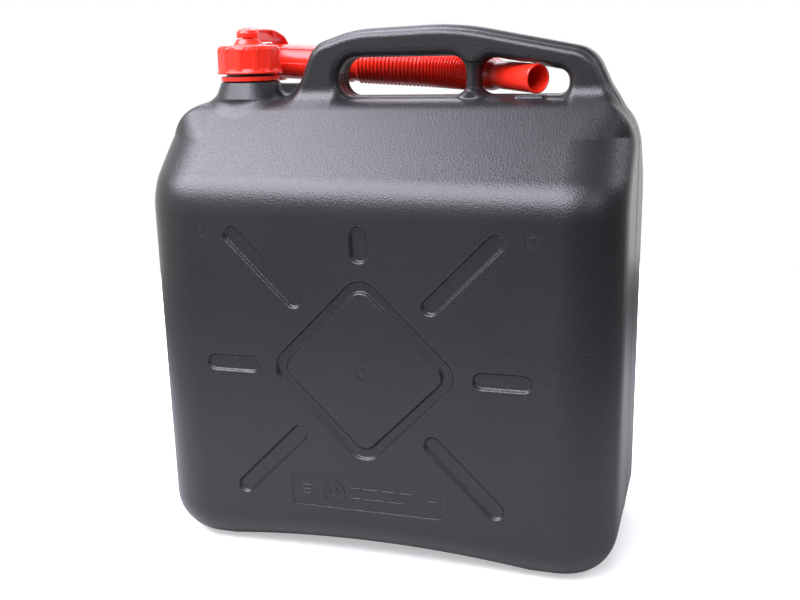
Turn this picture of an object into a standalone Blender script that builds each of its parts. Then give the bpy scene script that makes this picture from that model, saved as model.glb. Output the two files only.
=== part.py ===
"""Twenty litre plastic jerry can with a screw cap, a cap strap and a flexible pouring spout stowed on it.

Metres, +Z up. The origin is the centre of the base. +X runs along the width, away from the neck, and the
front is towards -Y. Every moving piece has its origin on its joint's axis. The sizes below are measured from
the middle of the handle and the pattern, and ORIGIN_SHIFT_X puts the origin in the middle of the width.
"""

import math

import bmesh
import bpy
from mathutils import Vector

# Tank
RIGHT_END_TOP = 0.1920
RIGHT_END_LOW = 0.1905
LEFT_END = 0.1836
END_BULGE = 0.004
ORIGIN_SHIFT_X = (LEFT_END - RIGHT_END_TOP) / 2
HALF_DEPTH = 0.090
SHELF_Z = 0.3605
WALL = 0.0022
BASE_RADIUS = 0.034
BASE_END_RADIUS = 0.041
BASE_ARCH = 0.0075
BASE_ARCH_HALF_LENGTH = 0.125
EDGE_RADIUS = 0.050
SHOULDER_LOW_Z = 0.2940
SHELF_HALF_DEPTH = 0.0215
SHOULDER_FILLET = 0.042
SHELF_FILLET = 0.032
SLOPE_STEPS = 4
LEFT_TOP_RADIUS = 0.044
RIGHT_TOP_RADIUS = 0.038

# Recessed pattern, on the front and on the back
RECESS_DEPTH = 0.0022
RECESS_TAPER = 0.0015
CUTTER_REACH = 0.003
PATTERN_Z = 0.1605
DIAMOND_OUTER = 0.077
DIAMOND_INNER = 0.066
SLOT_RADIUS = 0.0065
DIAGONAL_SLOT = (0.054, 0.1025)
SIDE_SLOT = (0.092, 0.123)
TOP_SLOT = (0.091, 0.105)
LABEL_Z = 0.0595
LABEL_SIZE = (0.125, 0.027)
LABEL_RADIUS = 0.0045

# Handle
HANDLE_HALF_DEPTH = 0.017
HANDLE_EDGE = 0.006
HANDLE_WALL = 0.0032
HANDLE_ROOT_Z = SHELF_Z - 0.019
OPENING_FLARE = 0.0045
HAND_OPENING_X = (-0.0395, 0.0616)
HAND_OPENING_TOP = 0.031
SPOUT_OPENING_X = (0.0724, 0.141)
POST_FRONT_Y = -0.010
POST_BACK_Y = 0.0062

# Neck and screw thread
NECK_X = -0.1215
NECK_RADIUS = 0.0192
NECK_BORE = 0.0164
NECK_FOOT_RADIUS = 0.033
NECK_SEAT_RADIUS = 0.0235
NECK_SEAT_Z = SHELF_Z + 0.0133
NECK_RIM_Z = SHELF_Z + 0.0355
WEB_TOP_Z = SHELF_Z + 0.0115
WEB_HALF_DEPTH = 0.002
THREAD_PITCH = 0.006
THREAD_TURNS = 1.5
THREAD_HALF_HEIGHT = 0.0009
THREAD_START_Z = SHELF_Z + 0.0235
THREAD_START_ANGLE = 0.06
NECK_CREST = 0.0207
CAP_CREST = 0.0199

# Cap
CAP_BOTTOM_Z = SHELF_Z + 0.020
CAP_TOP_Z = SHELF_Z + 0.0423
CAP_RADIUS = 0.0260
CAP_LIP_RADIUS = 0.0264
CAP_LOBES = 12
CAP_LOBE_DEPTH = 0.0007
CAP_BORE = 0.0217
CAP_ROOF_Z = SHELF_Z + 0.0383
STUD_RADIUS = 0.0046
STUD_HEAD_RADIUS = 0.0056

# Keeper ring, strap and strap cup
RING_Z = (SHELF_Z + 0.0138, SHELF_Z + 0.0175)
RING_INNER = 0.0198
RING_OUTER = 0.0236
TAB_HALF_WIDTH = 0.0045
TAB_END_Y = 0.032
STRAP_HALF_WIDTH = 0.0042
STRAP_THICKNESS = 0.0018
CUP_RADIUS = 0.0092
CUP_Z = (SHELF_Z + 0.0477, SHELF_Z + 0.0553)

# Spout
SPOUT_Y = 0.0485
SPOUT_RISE = -0.065
SPOUT_Z_AT_CENTRE = SHELF_Z + 0.0206
SPOUT_TURN = math.radians(41)
BEND_RADIUS = 0.088
BEND_START_X = 0.0143
INLET_END_X = -0.1300
HOSE_START_X = -0.0420
INLET_RADIUS = 0.0142
INLET_BORE = 0.0122
HOSE_RADIUS = 0.0148
HOSE_GROOVE = 0.0013
HOSE_BORE = 0.0118
CUFF_RADIUS = 0.0125
CUFF_LENGTH = 0.018
OUTLET_RADIUS = 0.01075
OUTLET_BORE = 0.0095
OUTLET_LENGTH = 0.0616
SEAL_GROOVE_RADIUS = 0.0134
JOINT_GAP = 0.0004

BLACK = (0.040, 0.040, 0.043)
RED = (0.80, 0.02, 0.012)
RUBBER = (0.02, 0.02, 0.02)


def clear_scene():
    """Empties the scene that the script runs in."""
    for obj in list(bpy.data.objects):
        bpy.data.objects.remove(obj, do_unlink=True)


def plastic(name, colour, roughness):
    """A moulded plastic or rubber material."""
    material = bpy.data.materials.new(name)
    material.use_nodes = True
    shader = material.node_tree.nodes["Principled BSDF"]
    shader.inputs["Base Color"].default_value = (*colour, 1.0)
    shader.inputs["Roughness"].default_value = roughness
    shader.inputs["Metallic"].default_value = 0.0
    return material


# Outlines and lofts


def arc_points(centre, radius, start, end, steps):
    """Points along an arc, with both ends, as (a, b) pairs."""
    points = []
    for i in range(steps + 1):
        angle = start + (end - start) * i / steps
        points.append((centre[0] + radius * math.cos(angle), centre[1] + radius * math.sin(angle)))
    return points


def rounded_rectangle(half_a, half_b, radius, steps):
    """A rectangle with round corners, counter-clockwise."""
    points = []
    for quarter, (sign_a, sign_b) in enumerate(((1, 1), (-1, 1), (-1, -1), (1, -1))):
        centre = (sign_a * (half_a - radius), sign_b * (half_b - radius))
        start = quarter * math.pi / 2
        points += arc_points(centre, radius, start, start + math.pi / 2, steps)
    return points


def rounded_polygon(corners, steps):
    """A polygon of (a, b, fillet radius) corners, with each fillet as an arc of the given steps."""
    points = []
    count = len(corners)
    for i, (a, b, radius) in enumerate(corners):
        if radius == 0:
            points.append((a, b))
            continue
        here = Vector((a, b))
        to_last = (Vector(corners[i - 1][:2]) - here).normalized()
        to_next = (Vector(corners[(i + 1) % count][:2]) - here).normalized()
        half_angle = to_last.angle(to_next) / 2
        bisector = (to_last + to_next).normalized()
        centre = here + bisector * (radius / math.sin(half_angle))
        first = here + to_last * (radius / math.tan(half_angle)) - centre
        last = here + to_next * (radius / math.tan(half_angle)) - centre
        sweep = first.angle_signed(last)
        for k in range(steps + 1):
            turn = -sweep * k / steps
            cos_turn = math.cos(turn)
            sin_turn = math.sin(turn)
            points.append(
                (
                    centre.x + first.x * cos_turn - first.y * sin_turn,
                    centre.y + first.x * sin_turn + first.y * cos_turn,
                )
            )
    return points


def stadium(start, end, radius, steps):
    """A slot outline with round ends between two points, counter-clockwise."""
    heading = math.atan2(end[1] - start[1], end[0] - start[0])
    quarter = math.pi / 2
    points = arc_points(end, radius, heading - quarter, heading + quarter, steps)
    points += arc_points(start, radius, heading + quarter, heading + 3 * quarter, steps)
    return points


def offset_outline(points, distance):
    """Moves a counter-clockwise outline outwards by a distance."""
    moved = []
    count = len(points)
    for i in range(count):
        before = Vector(points[i]) - Vector(points[i - 1])
        after = Vector(points[(i + 1) % count]) - Vector(points[i])
        normal_before = Vector((before.y, -before.x)).normalized()
        normal_after = Vector((after.y, -after.x)).normalized()
        normal = (normal_before + normal_after).normalized()
        reach = distance / max(0.5, normal.dot(normal_before))
        moved.append((points[i][0] + normal.x * reach, points[i][1] + normal.y * reach))
    return moved


def skin(name, rings, closed=False):
    """A solid through equal rings of 3D points, capped at its ends or joined end to end."""
    mesh = bpy.data.meshes.new(name)
    bm = bmesh.new()
    loops = [[bm.verts.new(point) for point in ring] for ring in rings]
    count = len(loops[0])
    pairs = list(zip(loops, loops[1:]))
    if closed:
        pairs.append((loops[-1], loops[0]))
    else:
        bm.faces.new(list(reversed(loops[0])))
        bm.faces.new(loops[-1])
    for low, high in pairs:
        for i in range(count):
            j = (i + 1) % count
            bm.faces.new((low[i], low[j], high[j], high[i]))
    bmesh.ops.recalc_face_normals(bm, faces=bm.faces)
    bm.to_mesh(mesh)
    bm.free()
    obj = bpy.data.objects.new(name, mesh)
    bpy.context.scene.collection.objects.link(obj)
    return obj


def turned(name, profile, centre, steps):
    """A solid of revolution about a vertical axis, from a closed (radius, z) profile."""
    rings = []
    for radius, z in profile:
        ring = []
        for i in range(steps):
            angle = 2 * math.pi * i / steps
            ring.append((centre[0] + radius * math.cos(angle), centre[1] + radius * math.sin(angle), z))
        rings.append(ring)
    return skin(name, rings, closed=True)


def column(name, profile, centre, steps):
    """A full turned solid with flat ends, from a (radius, z) profile that runs from bottom to top."""
    rings = []
    for radius, z in profile:
        ring = []
        for i in range(steps):
            angle = 2 * math.pi * i / steps
            ring.append((centre[0] + radius * math.cos(angle), centre[1] + radius * math.sin(angle), z))
        rings.append(ring)
    return skin(name, rings)


def plate(name, outline, layers):
    """A solid across the depth from an (x, z) outline, with (y, outward offset) layers."""
    rings = []
    for y, offset in layers:
        outline_here = offset_outline(outline, offset)
        rings.append([(x, y, z) for x, z in outline_here])
    return skin(name, rings)


def helix_ridge(name, root, crest, centre, start_z):
    """A screw ridge of trapezoid section between a root radius and a crest radius, tapered at its ends."""
    steps_per_turn = 20
    steps = int(THREAD_TURNS * steps_per_turn)
    rings = []
    for i in range(steps + 1):
        angle = THREAD_START_ANGLE + 2 * math.pi * i / steps_per_turn
        z = start_z + THREAD_PITCH * i / steps_per_turn
        fade = min(1.0, 0.25 + 0.25 * min(i, steps - i))
        tip = root + (crest - root) * fade
        section = (
            (root, -THREAD_HALF_HEIGHT),
            (tip, -THREAD_HALF_HEIGHT / 2),
            (tip, THREAD_HALF_HEIGHT / 2),
            (root, THREAD_HALF_HEIGHT),
        )
        ring = []
        for radius, rise in section:
            ring.append((centre[0] + radius * math.cos(angle), centre[1] + radius * math.sin(angle), z + rise))
        rings.append(ring)
    return skin(name, rings)


# Booleans and finishing


def combine(obj, other, operation):
    """Applies one exact Boolean and removes the other object."""
    modifier = obj.modifiers.new(operation.lower(), "BOOLEAN")
    modifier.operation = operation
    modifier.solver = "EXACT"
    modifier.object = other
    graph = bpy.context.evaluated_depsgraph_get()
    result = bpy.data.meshes.new_from_object(obj.evaluated_get(graph))
    obj.modifiers.clear()
    obj.data = result
    bpy.data.objects.remove(other, do_unlink=True)


def join_cutters(name, pieces):
    """Puts separate closed shapes into one cutter."""
    bm = bmesh.new()
    for piece in pieces:
        bm.from_mesh(piece.data)
        bpy.data.objects.remove(piece, do_unlink=True)
    mesh = bpy.data.meshes.new(name)
    bm.to_mesh(mesh)
    bm.free()
    obj = bpy.data.objects.new(name, mesh)
    bpy.context.scene.collection.objects.link(obj)
    return obj


def finish(obj, name, material, pivot=(0.0, 0.0, 0.0), sharp_degrees=35):
    """Names the piece, cleans and shades its mesh, gives it its material and puts its origin on the pivot."""
    mesh = obj.data
    bm = bmesh.new()
    bm.from_mesh(mesh)
    bmesh.ops.remove_doubles(bm, verts=bm.verts, dist=0.00002)
    bmesh.ops.dissolve_degenerate(bm, dist=0.00001, edges=bm.edges)
    bmesh.ops.dissolve_limit(bm, angle_limit=math.radians(0.2), verts=bm.verts, edges=bm.edges)
    bmesh.ops.triangulate(bm, faces=bm.faces)
    bmesh.ops.translate(bm, vec=-Vector(pivot), verts=bm.verts)
    bm.to_mesh(mesh)
    bm.free()
    obj.location = Vector(pivot) + Vector((ORIGIN_SHIFT_X, 0.0, 0.0))
    obj.name = name
    mesh.name = name
    mesh.materials.clear()
    mesh.materials.append(material)
    mesh.shade_smooth()
    mesh.set_sharp_from_angle(angle=math.radians(sharp_degrees))


# Can body


def shoulder_outline():
    """The (half depth, z) outline of one shoulder, from the wall up to the shelf."""
    corners = (
        (HALF_DEPTH, BASE_RADIUS, 0),
        (HALF_DEPTH, SHOULDER_LOW_Z, SHOULDER_FILLET),
        (SHELF_HALF_DEPTH, SHELF_Z, SHELF_FILLET),
        (0.0, SHELF_Z, 0),
    )
    curve = rounded_polygon(corners, 4)[1:-1]
    slope_start = len(curve) // 2 - 1
    start = Vector(curve[slope_start])
    end = Vector(curve[slope_start + 1])
    slope = [tuple(start.lerp(end, i / SLOPE_STEPS)) for i in range(1, SLOPE_STEPS)]
    return curve[: slope_start + 1] + slope + curve[slope_start + 1 :]


def end_at(z, low, top, top_radius):
    """How far one end of the tank is from the middle at a height, on the wall and on the round top end."""
    share = max(0.0, min(1.0, (z - BASE_RADIUS) / (SHOULDER_LOW_Z - BASE_RADIUS)))
    wall = low + (top - low) * share
    above = z - (SHELF_Z - top_radius)
    if above <= 0:
        return wall
    return wall - top_radius + math.sqrt(max(0.0, top_radius**2 - above**2))


def tank_outline(left, right, half_depth, radius, corner_steps):
    """One level section of the tank: round corners cut off by a flat belt at each end."""
    half_width = (left + right) / 2 + END_BULGE
    middle = (right - left) / 2
    outline = rounded_rectangle(half_width, half_depth, radius, corner_steps)
    return [(max(-left, min(right, x + middle)), y) for x, y in outline]


def tank_loft(name, inset, corner_steps):
    """The tank's rounded box, moved inwards by an inset."""
    sections = []
    for i in range(5):
        angle = math.pi / 2 * i / 4
        shrink = BASE_RADIUS * (1 - math.sin(angle))
        sections.append((HALF_DEPTH - shrink, BASE_RADIUS * (1 - math.cos(angle)), shrink))
    for z in (0.100, 0.170, 0.240):
        sections.append((HALF_DEPTH, z, 0.0))
    sections += [(half_depth, z, 0.0) for half_depth, z in shoulder_outline()]
    rings = []
    top = sections[-1][1]
    for half_depth, z, shrink in sections:
        depth = half_depth - inset
        pull = shrink * BASE_END_RADIUS / BASE_RADIUS + inset
        left = end_at(z, LEFT_END, LEFT_END, LEFT_TOP_RADIUS) - pull
        right = end_at(z, RIGHT_END_LOW, RIGHT_END_TOP, RIGHT_TOP_RADIUS) - pull
        radius = min(EDGE_RADIUS - shrink - inset, depth - 0.001)
        level = inset + z * (top - 2 * inset) / top
        rings.append([(x, y, level) for x, y in tank_outline(left, right, depth, radius, corner_steps)])
    return skin(name, rings)


def arch_cutter(rise):
    """A shallow arch under the base, so that the can stands on its two ends."""
    half = BASE_ARCH_HALF_LENGTH
    radius = (half**2 + BASE_ARCH**2) / (2 * BASE_ARCH)
    sweep = math.asin(half / radius)
    arc = arc_points((0.0, BASE_ARCH - radius + rise), radius, math.pi / 2 - sweep, math.pi / 2 + sweep, 10)
    outline = [(-half, rise - 0.020), (half, rise - 0.020)] + arc
    return plate("base_arch", outline, ((-0.1, 0.0), (0.1, 0.0)))


def pattern_outlines():
    """Outlines of the recessed slots and of the label panel, in (x, z)."""
    outlines = []
    near, far = DIAGONAL_SLOT
    for sign_x, sign_z in ((1, 1), (-1, 1), (-1, -1), (1, -1)):
        start = (sign_x * near, PATTERN_Z + sign_z * near)
        end = (sign_x * far, PATTERN_Z + sign_z * far)
        outlines.append(stadium(start, end, SLOT_RADIUS, 4))
    near, far = SIDE_SLOT
    for sign_x in (1, -1):
        outlines.append(stadium((sign_x * near, PATTERN_Z), (sign_x * far, PATTERN_Z), SLOT_RADIUS, 4))
    near, far = TOP_SLOT
    outlines.append(stadium((0.0, PATTERN_Z + near), (0.0, PATTERN_Z + far), SLOT_RADIUS, 4))
    panel = rounded_rectangle(LABEL_SIZE[0] / 2, LABEL_SIZE[1] / 2, LABEL_RADIUS, 2)
    outlines.append([(x, z + LABEL_Z) for x, z in panel])
    return outlines


def diamond(half_diagonal, radius):
    """A square standing on its corner, with round corners."""
    corners = []
    for sign_x, sign_z in ((1, 0), (0, 1), (-1, 0), (0, -1)):
        corners.append((sign_x * half_diagonal, PATTERN_Z + sign_z * half_diagonal, radius))
    return rounded_polygon(corners, 3)


def pattern_solid(name, side, layers):
    """The pattern as closed shapes on one side of the tank, with (depth from the face, offset) layers."""
    pieces = []
    for outline in pattern_outlines():
        pieces.append(plate("slot", outline, [(side * (HALF_DEPTH - depth), grow) for depth, grow in layers]))
    outer = diamond(DIAMOND_OUTER, 0.016)
    inner = diamond(DIAMOND_INNER, 0.010)
    rings = []
    for depth, grow in layers:
        outline = offset_outline(outer, grow)
        rings.append([(x, side * (HALF_DEPTH - depth), z) for x, z in outline])
    for depth, grow in reversed(layers):
        outline = offset_outline(inner, -grow)
        rings.append([(x, side * (HALF_DEPTH - depth), z) for x, z in outline])
    pieces.append(skin("diamond_channel", rings, closed=True))
    return join_cutters(name, pieces)


def handle_outline():
    """The handle's outer outline in (x, z), counter-clockwise."""
    corners = (
        (-0.088, HANDLE_ROOT_Z, 0),
        (0.178, HANDLE_ROOT_Z, 0),
        (0.1755, SHELF_Z - 0.001, 0.020),
        (0.1590, SHELF_Z + 0.0340, 0.026),
        (0.055, SHELF_Z + 0.0548, 0.200),
        (-0.026, SHELF_Z + 0.0522, 0.100),
        (-0.062, SHELF_Z + 0.0410, 0.024),
        (-0.080, SHELF_Z - 0.001, 0.020),
    )
    return rounded_polygon(corners, 3)


def hand_opening():
    """Outline of the opening for the hand."""
    low = SHELF_Z + 0.001
    high = SHELF_Z + HAND_OPENING_TOP
    corners = (
        (HAND_OPENING_X[0], low, 0.012),
        (HAND_OPENING_X[1], low, 0.009),
        (HAND_OPENING_X[1], high, 0.012),
        (HAND_OPENING_X[0], high, 0.0155),
    )
    return rounded_polygon(corners, 4)


def spout_opening():
    """Outline of the smaller opening, where the spout's outlet is stowed."""
    low = SHELF_Z + 0.001
    corners = (
        (SPOUT_OPENING_X[0], low, 0.009),
        (SPOUT_OPENING_X[1], low, 0.0085),
        (SPOUT_OPENING_X[1], SHELF_Z + 0.0185, 0.0085),
        (SPOUT_OPENING_X[0], SHELF_Z + 0.0315, 0.012),
    )
    return rounded_polygon(corners, 4)


def opening_cutter(name, outline):
    """A cutter through the handle that flares at both faces."""
    depth = HANDLE_HALF_DEPTH
    layers = (
        (-depth - 0.002, OPENING_FLARE),
        (-depth + 0.003, OPENING_FLARE * 0.5),
        (-depth + 0.009, 0.0),
        (depth - 0.009, 0.0),
        (depth - 0.003, OPENING_FLARE * 0.5),
        (depth + 0.002, OPENING_FLARE),
    )
    return plate(name, outline, layers)


def spout_clearance():
    """Room for the stowed spout where it passes the post and the bar."""
    end = BEND_RADIUS * SPOUT_TURN
    profile = (
        (end - 0.040, HOSE_RADIUS + 0.0010),
        (end - 0.020, HOSE_RADIUS + 0.0010),
        (end + 0.001, HOSE_RADIUS + 0.0008),
        (end + 0.002, CUFF_RADIUS + 0.0009),
        (end + CUFF_LENGTH + 0.001, CUFF_RADIUS + 0.0009),
        (end + CUFF_LENGTH + 0.006, OUTLET_RADIUS + 0.0009),
        (end + OUTLET_LENGTH + 0.006, OUTLET_RADIUS + 0.0009),
    )
    return skin("spout_clearance", [spout_ring(distance, radius, 20) for distance, radius in profile])


def handle_solid():
    """The handle with its two openings and the slim post between them."""
    depth = HANDLE_HALF_DEPTH
    layers = (
        (-depth, -HANDLE_EDGE),
        (-depth + 0.002, -HANDLE_EDGE * 0.3),
        (-depth + 0.007, 0.0),
        (depth - 0.007, 0.0),
        (depth - 0.002, -HANDLE_EDGE * 0.3),
        (depth, -HANDLE_EDGE),
    )
    handle = plate("handle", handle_outline(), layers)
    combine(handle, opening_cutter("hand_opening", hand_opening()), "DIFFERENCE")
    combine(handle, opening_cutter("spout_opening", spout_opening()), "DIFFERENCE")
    left = HAND_OPENING_X[1] - 0.012
    right = SPOUT_OPENING_X[0] + 0.012
    low = SHELF_Z + 0.0065
    corners = (
        (left, low, 0.004),
        (right, low, 0.004),
        (right, SHELF_Z + 0.0245, 0.004),
        (left, SHELF_Z + 0.0265, 0.004),
    )
    relief = rounded_polygon(corners, 2)
    clearance = spout_clearance()
    combine(handle, clearance, "DIFFERENCE")
    back = plate("back_relief", relief, ((POST_BACK_Y, -0.001), (depth + 0.002, 0.001)))
    combine(handle, back, "DIFFERENCE")
    front = plate("front_relief", relief, ((-depth - 0.002, 0.001), (POST_FRONT_Y, -0.001)))
    combine(handle, front, "DIFFERENCE")
    return handle


def handle_hollow():
    """The hollow inside the handle's bar and legs, open to the tank at both feet."""
    depth = HANDLE_HALF_DEPTH - HANDLE_WALL
    outline = offset_outline(handle_outline(), -HANDLE_WALL)
    hollow = plate("hollow", outline, ((-depth, -0.004), (-depth + 0.005, 0), (depth - 0.005, 0), (depth, -0.004)))
    low = SHELF_Z - 0.037
    corners = (
        (HAND_OPENING_X[0], low, 0),
        (SPOUT_OPENING_X[1], low, 0),
        (SPOUT_OPENING_X[1], SHELF_Z + 0.0185, 0.0085),
        (SPOUT_OPENING_X[0], SHELF_Z + 0.0315, 0.010),
        (HAND_OPENING_X[1] - 0.007, SHELF_Z + HAND_OPENING_TOP, 0.010),
        (HAND_OPENING_X[0], SHELF_Z + HAND_OPENING_TOP, 0.0155),
    )
    both_openings = rounded_polygon(corners, 3)
    core = plate("core", offset_outline(both_openings, HANDLE_WALL + 0.001), ((-0.03, 0.0), (0.03, 0.0)))
    combine(hollow, core, "DIFFERENCE")
    return hollow


def neck_solid():
    """The neck with its conical foot and its screw ridge."""
    profile = (
        (NECK_FOOT_RADIUS, SHELF_Z - 0.012),
        (NECK_FOOT_RADIUS, SHELF_Z - 0.001),
        (NECK_FOOT_RADIUS - 0.004, SHELF_Z + 0.003),
        (NECK_SEAT_RADIUS + 0.001, NECK_SEAT_Z - 0.001),
        (NECK_SEAT_RADIUS, NECK_SEAT_Z),
        (NECK_RADIUS, NECK_SEAT_Z),
        (NECK_RADIUS, NECK_RIM_Z - 0.0008),
        (NECK_RADIUS - 0.0008, NECK_RIM_Z),
    )
    neck = column("neck", profile, (NECK_X, 0.0), 32)
    ridge = helix_ridge("neck_ridge", NECK_RADIUS - 0.0006, NECK_CREST, (NECK_X, 0.0), THREAD_START_Z)
    combine(neck, ridge, "UNION")
    return neck


def web_solid():
    """The pinched web that joins the neck's foot to the handle's leg."""
    low = SHELF_Z - 0.005
    outline = ((-0.104, low), (-0.070, low), (-0.073, WEB_TOP_Z), (-0.101, WEB_TOP_Z))
    return plate("web", outline, ((-WEB_HALF_DEPTH, 0.0), (WEB_HALF_DEPTH, 0.0)))


def saddle_solid():
    """The low cradle on the shelf under the spout's outlet."""
    low = SHELF_Z - 0.005
    high = SHELF_Z + 0.0012
    outline = ((0.100, low), (0.124, low), (0.122, high), (0.102, high))
    return plate("saddle", outline, ((-0.0165, -0.0005), (-0.0155, 0.0), (-0.009, 0.0), (-0.008, -0.0005)))


def can_hollow():
    """Everything that is empty inside the can: tank, handle and neck."""
    hollow = tank_loft("tank_hollow", WALL, 3)
    combine(hollow, arch_cutter(WALL), "DIFFERENCE")
    for side in (-1, 1):
        bosses = pattern_solid("bosses", side, ((0.0, WALL), (RECESS_DEPTH + WALL, WALL - RECESS_TAPER)))
        combine(hollow, bosses, "DIFFERENCE")
    combine(hollow, handle_hollow(), "UNION")
    bore = column("neck_bore", ((NECK_BORE, SHELF_Z - 0.017), (NECK_BORE, NECK_RIM_Z + 0.005)), (NECK_X, 0.0), 32)
    combine(hollow, bore, "UNION")
    return hollow


def make_can_body(material):
    """The blow-moulded shell."""
    body = tank_loft("can_body", 0.0, 5)
    combine(body, arch_cutter(0.0), "DIFFERENCE")
    combine(body, handle_solid(), "UNION")
    combine(body, web_solid(), "UNION")
    combine(body, saddle_solid(), "UNION")
    combine(body, neck_solid(), "UNION")
    for side in (-1, 1):
        layers = ((-CUTTER_REACH, 0.002), (RECESS_DEPTH, -RECESS_TAPER))
        combine(body, pattern_solid("recesses", side, layers), "DIFFERENCE")
    combine(body, can_hollow(), "DIFFERENCE")
    finish(body, "can_body", material)


# Cap and seal


def lobed_ring(radius, depth, z):
    """One ring of the cap's skirt, with shallow valleys between its lobes."""
    steps = 4 * CAP_LOBES
    ring = []
    for i in range(steps):
        angle = 2 * math.pi * i / steps
        here = radius - (depth if i % 4 == 0 else 0.0)
        ring.append((NECK_X + here * math.cos(angle), here * math.sin(angle), z))
    return ring


def make_screw_cap(material):
    """The cap with its lobed skirt, bore, thread ridge and strap stud."""
    depth = CAP_LOBE_DEPTH
    rings = [
        lobed_ring(CAP_LIP_RADIUS, 0.0, CAP_BOTTOM_Z),
        lobed_ring(CAP_LIP_RADIUS, 0.0, CAP_BOTTOM_Z + 0.0012),
        lobed_ring(CAP_RADIUS, depth, CAP_BOTTOM_Z + 0.0020),
        lobed_ring(CAP_RADIUS, depth, CAP_TOP_Z - 0.0060),
        lobed_ring(CAP_RADIUS - 0.0012, depth, CAP_TOP_Z - 0.0026),
        lobed_ring(CAP_RADIUS - 0.0040, 0.0, CAP_TOP_Z - 0.0006),
        lobed_ring(CAP_RADIUS - 0.0075, 0.0, CAP_TOP_Z),
    ]
    cap = skin("screw_cap", rings)
    centre = (NECK_X, 0.0)
    bore = column("cap_bore", ((CAP_BORE, CAP_BOTTOM_Z - 0.002), (CAP_BORE, CAP_ROOF_Z)), centre, 32)
    combine(cap, bore, "DIFFERENCE")
    stud_profile = (
        (0.0112, CAP_TOP_Z - 0.001),
        (0.0112, CAP_TOP_Z + 0.0004),
        (0.0088, CAP_TOP_Z + 0.0048),
        (STUD_RADIUS, CAP_TOP_Z + 0.0048),
        (STUD_RADIUS, CAP_TOP_Z + 0.0077),
        (STUD_HEAD_RADIUS, CAP_TOP_Z + 0.0081),
        (STUD_RADIUS - 0.0006, CAP_TOP_Z + 0.0097),
    )
    combine(cap, column("stud", stud_profile, centre, 24), "UNION")
    ridge = helix_ridge("cap_ridge", CAP_BORE + 0.0006, CAP_CREST, centre, THREAD_START_Z - THREAD_PITCH / 2)
    combine(cap, ridge, "UNION")
    finish(cap, "screw_cap", material, (NECK_X, 0.0, CAP_BOTTOM_Z))


def make_cap_gasket(material):
    """The flat seal between the cap's roof and the neck's rim."""
    low = NECK_RIM_Z + 0.0003
    high = CAP_ROOF_Z - 0.0003
    profile = ((0.0208, low), (0.0208, high), (0.0158, high), (0.0158, low))
    gasket = turned("cap_gasket", profile, (NECK_X, 0.0), 32)
    finish(gasket, "cap_gasket", material, (NECK_X, 0.0, low))


# Keeper ring, strap and cup


def make_neck_ring(material):
    """The keeper ring with the tab that the strap starts from."""
    low, high = RING_Z
    profile = ((RING_OUTER, low), (RING_OUTER, high), (RING_INNER, high), (RING_INNER, low))
    ring = turned("neck_ring", profile, (NECK_X, 0.0), 32)
    left = NECK_X - TAB_HALF_WIDTH
    right = NECK_X + TAB_HALF_WIDTH
    corners = ((left, 0.0215), (right, 0.0215), (right, TAB_END_Y), (left, TAB_END_Y))
    rings = [[(x, y, z) for x, y in corners] for z in (low + 0.0002, low + 0.0025)]
    combine(ring, skin("tab", rings), "UNION")
    finish(ring, "neck_ring", material, (NECK_X, 0.0, low))


def strap_path():
    """Centre line of the strap as (y, z) points, from the ring's tab round the spout to the cup."""
    spout_z = SPOUT_Z_AT_CENTRE + SPOUT_RISE * NECK_X
    low = RING_Z[0] + 0.0011
    rear = arc_points((SPOUT_Y, spout_z + 0.0020), 0.0195, math.radians(-65), math.radians(72), 8)
    path = [(TAB_END_Y + JOINT_GAP, low), (SPOUT_Y - 0.004, low - 0.0022)]
    path += rear
    high = CUP_Z[1] - 0.0015
    path += [(0.040, high - 0.0004), (0.024, high + 0.0004), (CUP_RADIUS + JOINT_GAP, high)]
    return path


def make_strap_band(material):
    """The flexible strap as a flat ribbon along its path."""
    path = strap_path()
    count = len(path)
    rings = []
    for i, (y, z) in enumerate(path):
        before = Vector(path[max(i - 1, 0)])
        after = Vector(path[min(i + 1, count - 1)])
        along = (after - before).normalized()
        side = Vector((-along.y, along.x)) * (STRAP_THICKNESS / 2)
        ring = []
        for across, thick in ((-1, -1), (1, -1), (1, 1), (-1, 1)):
            ring.append((NECK_X + across * STRAP_HALF_WIDTH, y + thick * side.x, z + thick * side.y))
        rings.append(ring)
    finish(skin("strap_band", rings), "strap_band", material, (NECK_X, 0.0, RING_Z[0]))


def make_strap_eyelet(material):
    """The cup that snaps over the cap's stud and carries the strap's upper end."""
    low, high = CUP_Z
    profile = (
        (CUP_RADIUS - 0.0008, low),
        (CUP_RADIUS, low + 0.0006),
        (CUP_RADIUS, high - 0.0040),
        (CUP_RADIUS - 0.0022, high - 0.0006),
        (CUP_RADIUS - 0.0036, high),
    )
    cup = column("strap_eyelet", profile, (NECK_X, 0.0), 24)
    pocket = column(
        "pocket",
        (
            (STUD_RADIUS + 0.0004, low - 0.002),
            (STUD_RADIUS + 0.0004, low + 0.0017),
            (STUD_HEAD_RADIUS + 0.0005, low + 0.0021),
            (STUD_HEAD_RADIUS + 0.0005, low + 0.0049),
        ),
        (NECK_X, 0.0),
        24,
    )
    combine(cup, pocket, "DIFFERENCE")
    finish(cup, "strap_eyelet", material, (NECK_X, 0.0, low))


# Spout


def spout_point(distance):
    """Centre line of the spout in plan at a distance past the start of its bend: (x, y, heading)."""
    bend_length = BEND_RADIUS * SPOUT_TURN
    if distance < 0:
        return BEND_START_X + distance, SPOUT_Y, 0.0
    turn = min(distance / BEND_RADIUS, SPOUT_TURN)
    x = BEND_START_X + BEND_RADIUS * math.sin(turn)
    y = SPOUT_Y - BEND_RADIUS * (1 - math.cos(turn))
    past = max(0.0, distance - bend_length)
    return x + past * math.cos(turn), y - past * math.sin(turn), turn


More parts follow.
